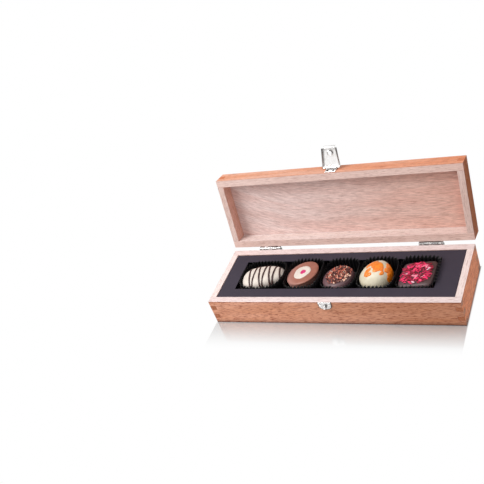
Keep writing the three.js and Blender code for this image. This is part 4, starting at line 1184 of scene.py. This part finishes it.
def catch_shade(finish):
    """Painted shadow round the foot of the nub and painted shade along the round edge of the catch plate,
    over a thin even darkening.
    """
    x, _, z = finish.axes(finish.place())
    across, down = x / MM - CLASP_X, (CASE_HEIGHT - z) / MM
    from_nub = (across**2 + (down - NUB_DROP) ** 2) ** 0.5
    # Painted shadow in a ring round the nub's foot.
    foot = from_nub.rise(1.4, 1.55) * from_nub.rise(2.1, 1.75)
    edge = (across.size() / CATCH_HALF) ** CATCH_SQUARE + (down.size() / CATCH_DROP) ** CATCH_SQUARE
    return foot.larger(edge.rise(0.62, 0.8)).larger(CATCH_HAZE)


nickel = nickel_finish("nickel_plate")
hinge_nickel = nickel_finish("hinge_plate", hinge_shade)
clasp_nickel = nickel_finish("clasp_plate_nickel", clasp_shade)
arm_nickel = nickel_finish("clasp_arm_nickel", arm_shade)
catch_nickel = nickel_finish("catch_nickel", catch_shade)
steel = Finish("dark_steel", {"Metallic": 1.0})
steel_wear = steel.noise(steel.place(), 900, 3.0, 0.6)
steel.set({
    "Base Color": steel.blend(steel_wear, tone(70, 66, 66), tone(118, 112, 108)),
    "Roughness": 0.3 + steel_wear * 0.2,
})
for name in nodes:
    if name.startswith("catch_nail"):
        soften(dress(name, nickel), SHEET_EDGE)
    elif "pin" in name or "nail" in name:
        dress(name, steel.material)
    elif "hinge" in name:
        soften(dress(name, hinge_nickel), SHEET_EDGE)
soften(dress("clasp_plate", clasp_nickel), SHEET_EDGE)
print("fittings dressed", sum(name.startswith(("left_", "right_", "clasp", "catch")) for name in nodes))

# %% [markdown]
# ## Catch plate
# The catch is a half-round plate, pressed over at its edge, with a nub that the clasp arm's hole drops
# over. The CAD plate has square edges and few facets, so it is made again as one grid of rings: over the
# tip of the nub, down its side, across the plate and round its edge to the wood.

# %% Catch plate
NUB_RADIUS, NUB_OUT, NUB_CROWN = 1.5, 3.4, 0.7
CATCH_FACE, CATCH_BACK = 0.8, 0.1
CATCH_ROUND = 0.4


def catch_outline(low_steps=96, top_steps=34):
    """The plate's outline as places across and up: half a superellipse, closed by a straight top."""
    angle = np.linspace(np.pi, 2 * np.pi, low_steps)
    radius = superellipse((CATCH_HALF, CATCH_DROP), CATCH_SQUARE, angle)
    low = np.stack([radius * np.cos(angle), radius * np.sin(angle)], -1)
    top = np.stack([np.linspace(CATCH_HALF, -CATCH_HALF, top_steps)[1:-1], np.zeros(top_steps - 2)], -1)
    return np.concatenate([low, top])


def catch_points():
    """Rings about the nub's middle, from the plate's back edge to the nub's tip. A ring's reach is measured
    along the rays to the outline, and its height is the distance from the wood. Reach and height of the
    round stretches are sines and cosines of a quarter circle."""
    middle = np.array([0, -NUB_DROP])
    ray = catch_outline() - middle
    rim = np.linalg.norm(ray, axis=-1)
    way = ray / rim[:, None]
    even = np.ones_like(rim)
    quarter = np.linspace(0, np.pi / 2, 6)[:, None]
    foot = NUB_RADIUS + CATCH_ROUND
    flat = np.linspace(0, 1, 9)[1:-1, None]
    reach = [
        NUB_RADIUS * np.sin(quarter[1:]) * even,
        (foot - CATCH_ROUND * np.cos(quarter)) * even,
        foot + flat * (rim - CATCH_ROUND - foot),
        rim - CATCH_ROUND * (1 - np.sin(quarter)),
        rim[None],
    ]
    height = [
        NUB_OUT - NUB_CROWN * (1 - np.cos(quarter[1:])),
        CATCH_FACE + CATCH_ROUND * (1 - np.sin(quarter)),
        np.full(flat.shape, CATCH_FACE),
        CATCH_FACE - CATCH_ROUND * (1 - np.cos(quarter)),
        np.full((1, 1), CATCH_BACK),
    ]
    reach, height = np.concatenate(reach)[::-1], np.concatenate(height)[::-1]
    across, up = np.moveaxis(middle + way * reach[..., None], -1, 0)
    out = np.broadcast_to(height, reach.shape)
    place = np.stack([CLASP_X + across, -out, up], -1) * MM
    return place + [0, -BOX_DEPTH / 2, CASE_HEIGHT]


piece("catch_pressed_plate", *closed_grid(catch_points()), "case", "nickel", catch_nickel, ["catch_plate"])

# %% [markdown]
# ## Clasp arm
# The arm is one pressing: a tapered web with a hole for the nub, sides turned in over a soft radius, a
# rolled lip for the finger, and two curls round the pin. The CAD solid has square edges, but on polished
# metal it is the radius that shows, as a dark line. So the arm is made again here. Each part is a grid: the
# web runs from the hole's edge out to a tapered outline, and the turned edges bend a quarter circle away
# from it. Lengths run from the pin to the tip, and depths towards the wood of the shut box.

# %% Clasp arm
ARM = dict(half_root=8.5, half_tip=6.9, length=19.5, face=-0.95, notch=1.65, root=0.4)
HOLE_AT, HOLE_RADIUS = 13.32, 2.3
ROOT_BEND, TIP_BEND, LIP = 1.2, 1.9, 1.6
COLLAR_BEND, COLLAR_DEPTH = 0.6, 1.2
CLASP_SETBACK, CLASP_OPEN = 1.6, math.radians(102.5)
CURL_RADIUS, CURL_INNER, CURL_CHAMFER = 1.4, 5.25, 0.15
SHEET = 0.6
BEND_STEPS, COLLAR_STEPS, EDGE_POINTS = 8, 6, 24
SIDE_TAIL, LIP_TAIL, LIP_TURN = 0.05, 0.2, math.radians(75)
# How far and how dark the painted shade of the collar spills over its rim.
SPILL_REACH, SPILL_SHADE = 1.0, 0.7
TIP_HAZE, TIP_HAZE_FROM, TIP_HAZE_SPAN = 0.35, 15.0, 1.5
# Painted shade at the start of the lip's bend.
LIP_SHADE = 0.5


def arm_half(along):
    """Half the web's flat width at a distance from the pin."""
    root, tip = ARM["half_root"] - ROOT_BEND, ARM["half_tip"] - TIP_BEND
    return root + (tip - root) * along / ARM["length"]


def arm_web(columns=180, rows=10):
    """A grid from the hole's turned collar to the outline: along each ray, the nearest of the sides, the
    tip, the root and the notch between the curls."""
    angle = np.linspace(0, 2 * np.pi, columns, endpoint=False)
    right, ahead = np.cos(angle), np.sin(angle)
    lean = (arm_half(ARM["length"]) - arm_half(0)) / ARM["length"]
    far = 1e3
    to_side = arm_half(HOLE_AT) / np.maximum(np.abs(right) - lean * ahead, 1e-6)
    to_tip = np.where(ahead > 0, (ARM["length"] - LIP - HOLE_AT) / np.maximum(ahead, 1e-6), far)
    down = np.maximum(-ahead, 1e-6)
    to_notch = (HOLE_AT - ARM["notch"]) / down
    to_root = np.where(np.abs(to_notch * right) < CURL_INNER, to_notch, (HOLE_AT - ARM["root"]) / down)
    reach = np.minimum(np.minimum(to_side, to_tip), np.where(ahead < 0, to_root, far))
    share = np.linspace(0, 1, rows)[:, None]
    rim = HOLE_RADIUS + COLLAR_BEND
    radius = rim + share * (reach - rim)
    turn = np.linspace(np.pi / 2, 0, COLLAR_STEPS)[:, None]
    bend = np.broadcast_to(rim - COLLAR_BEND * np.sin(turn), (COLLAR_STEPS, columns))
    radius = np.concatenate([bend[:1], bend, radius[1:]])
    sunk = np.concatenate([[[COLLAR_DEPTH]], COLLAR_BEND * (1 - np.cos(turn)), np.zeros((rows - 1, 1))])
    depth = np.broadcast_to(ARM["face"] + sunk, radius.shape)
    return np.stack([radius * right, HOLE_AT + radius * ahead, depth], -1)


def web_shade(web):
    """The painted shade of each point of the web: a crescent in the collar, which spills over its rim on the
    side towards the right of the tip, and a darkening at the tip."""
    right, along, sunk = np.moveaxis(web - [0, HOLE_AT, ARM["face"]], -1, 0)
    off_rim = np.hypot(right, along) - HOLE_RADIUS - COLLAR_BEND
    spill = np.clip(1 - off_rim / SPILL_REACH, 0, 1) * SPILL_SHADE
    # Painted shade: a crescent in the collar.
    crescent = 0.15 + 0.85 * np.clip(1.5 * np.cos(np.arctan2(along, right) - math.pi / 4), 0, 1)
    collar = np.maximum((np.maximum(sunk, 0) / COLLAR_DEPTH) ** 0.3, spill) * crescent
    haze = np.clip((HOLE_AT + along - TIP_HAZE_FROM) / TIP_HAZE_SPAN, 0, 1) * TIP_HAZE
    return np.maximum(collar, haze)


def turned_edge(edge, out, deep, bend, full, tail):
    """A strip along an edge that bends from the way out towards the way deep, as the sine and one minus the
    cosine of its turn, then runs straight on by its tail."""
    turn = np.linspace(0, full, BEND_STEPS)[:, None, None]
    round_part = edge + bend * (np.sin(turn) * out + (1 - np.cos(turn)) * deep)
    straight = np.sin(full) * deep + np.cos(full) * np.asarray(out)
    return np.concatenate([round_part, (round_part[-1] + tail * straight)[None]])


def curl(start, end, columns=32):
    """A closed round bar about the pin from one x to another, a little smaller at its ends."""
    angle = np.linspace(0, 2 * np.pi, columns, endpoint=False)
    places = np.array([start, start, end, end])[:, None]
    radius = CURL_RADIUS - np.array([CURL_CHAMFER, 0, 0, CURL_CHAMFER])[:, None]
    x = np.broadcast_to(places, (4, columns))
    return closed_grid(np.stack([x, radius * np.cos(angle), radius * np.sin(angle)], -1))


def opened_clasp(points):
    """Arm millimetres to the frame: turned about the clasp pin, then with the lid about the hinge pins."""
    place = np.stack([points[:, 0] + CLASP_X, points[:, 2], -points[:, 1]], -1) * MM
    pin = np.array([0, -BOX_DEPTH / 2 - CLASP_SETBACK * MM, CLASP_PIN])
    arm_swing, lid_swing = [np.array(Matrix.Rotation(-angle, 3, "X")) for angle in (CLASP_OPEN, LID_OPEN)]
    shut = place @ arm_swing.T + pin
    return (shut - HINGE) @ lid_swing.T + HINGE


print("hole in the arm", 2 * HOLE_RADIUS, "mm wide, nub", 2 * NUB_RADIUS, "mm")

# %% [markdown]
# ## Arm from its parts
# Web, sides and lip are sheets of one pressing, joined in one mesh, and Solidify gives them the sheet's
# thickness. The painted shade of every point is stored on the mesh, part by part, because it follows the
# bends: the turned sides and the lip are painted darker for their shade and reflection. The curls are solid
# bars and stay a piece of their own.

# %% Arm pieces
flat_length = ARM["length"] - LIP
face = np.full(EDGE_POINTS, ARM["face"])
deep = np.array([0, 0, 1.0])
along = np.linspace(ARM["root"], flat_length, EDGE_POINTS)
bend = ROOT_BEND + (TIP_BEND - ROOT_BEND) * along[:, None] / ARM["length"]
sides = []
for way in (-1, 1):
    edge = np.stack([way * arm_half(along), along, face], -1)
    sides.append(turned_edge(edge, np.array([way, 0, 0]), deep, bend, math.pi / 2, SIDE_TAIL))
tip_x = np.linspace(-1, 1, EDGE_POINTS) * arm_half(flat_length)
tip_edge = np.stack([tip_x, np.full(EDGE_POINTS, flat_length), face], -1)
tip = turned_edge(tip_edge, np.array([0, 1.0, 0]), -deep, LIP, LIP_TURN, LIP_TAIL)
web = arm_web()
parts = [(web.reshape(-1, 3), grid_faces(*web.shape[:2]))]
parts += [(strip.reshape(-1, 3), grid_faces(*strip.shape[:2], ring=False)) for strip in (*sides, tip)]
points, faces = joined(parts)
arm = piece("clasp_pressed_arm", opened_clasp(points), faces, "clasp", "nickel", arm_nickel,
            ["clasp_arm"])
# Painted shade on the turned sides, growing round each bend and towards the tip, and on the lip's bend.
bent = np.linspace(0.2, 1, BEND_STEPS + 1)[:, None]
side_shade = np.minimum(bent * (0.3 + 0.9 * (along / ARM["length"]) ** 2), 1)
lip_shade = np.linspace(LIP_SHADE, 0, BEND_STEPS + 1)[:, None] * np.ones(EDGE_POINTS)
painted_shade = [part.ravel() for part in (web_shade(web), side_shade, side_shade, lip_shade)]
store(arm, "painted_shade", np.concatenate(painted_shade))
thicken(arm, "sheet", SHEET * MM)
points, faces = joined([curl(-ARM["half_root"], -CURL_INNER), curl(CURL_INNER, ARM["half_root"])])
piece("clasp_arm_curls", opened_clasp(points), faces, "clasp", "nickel", nickel)
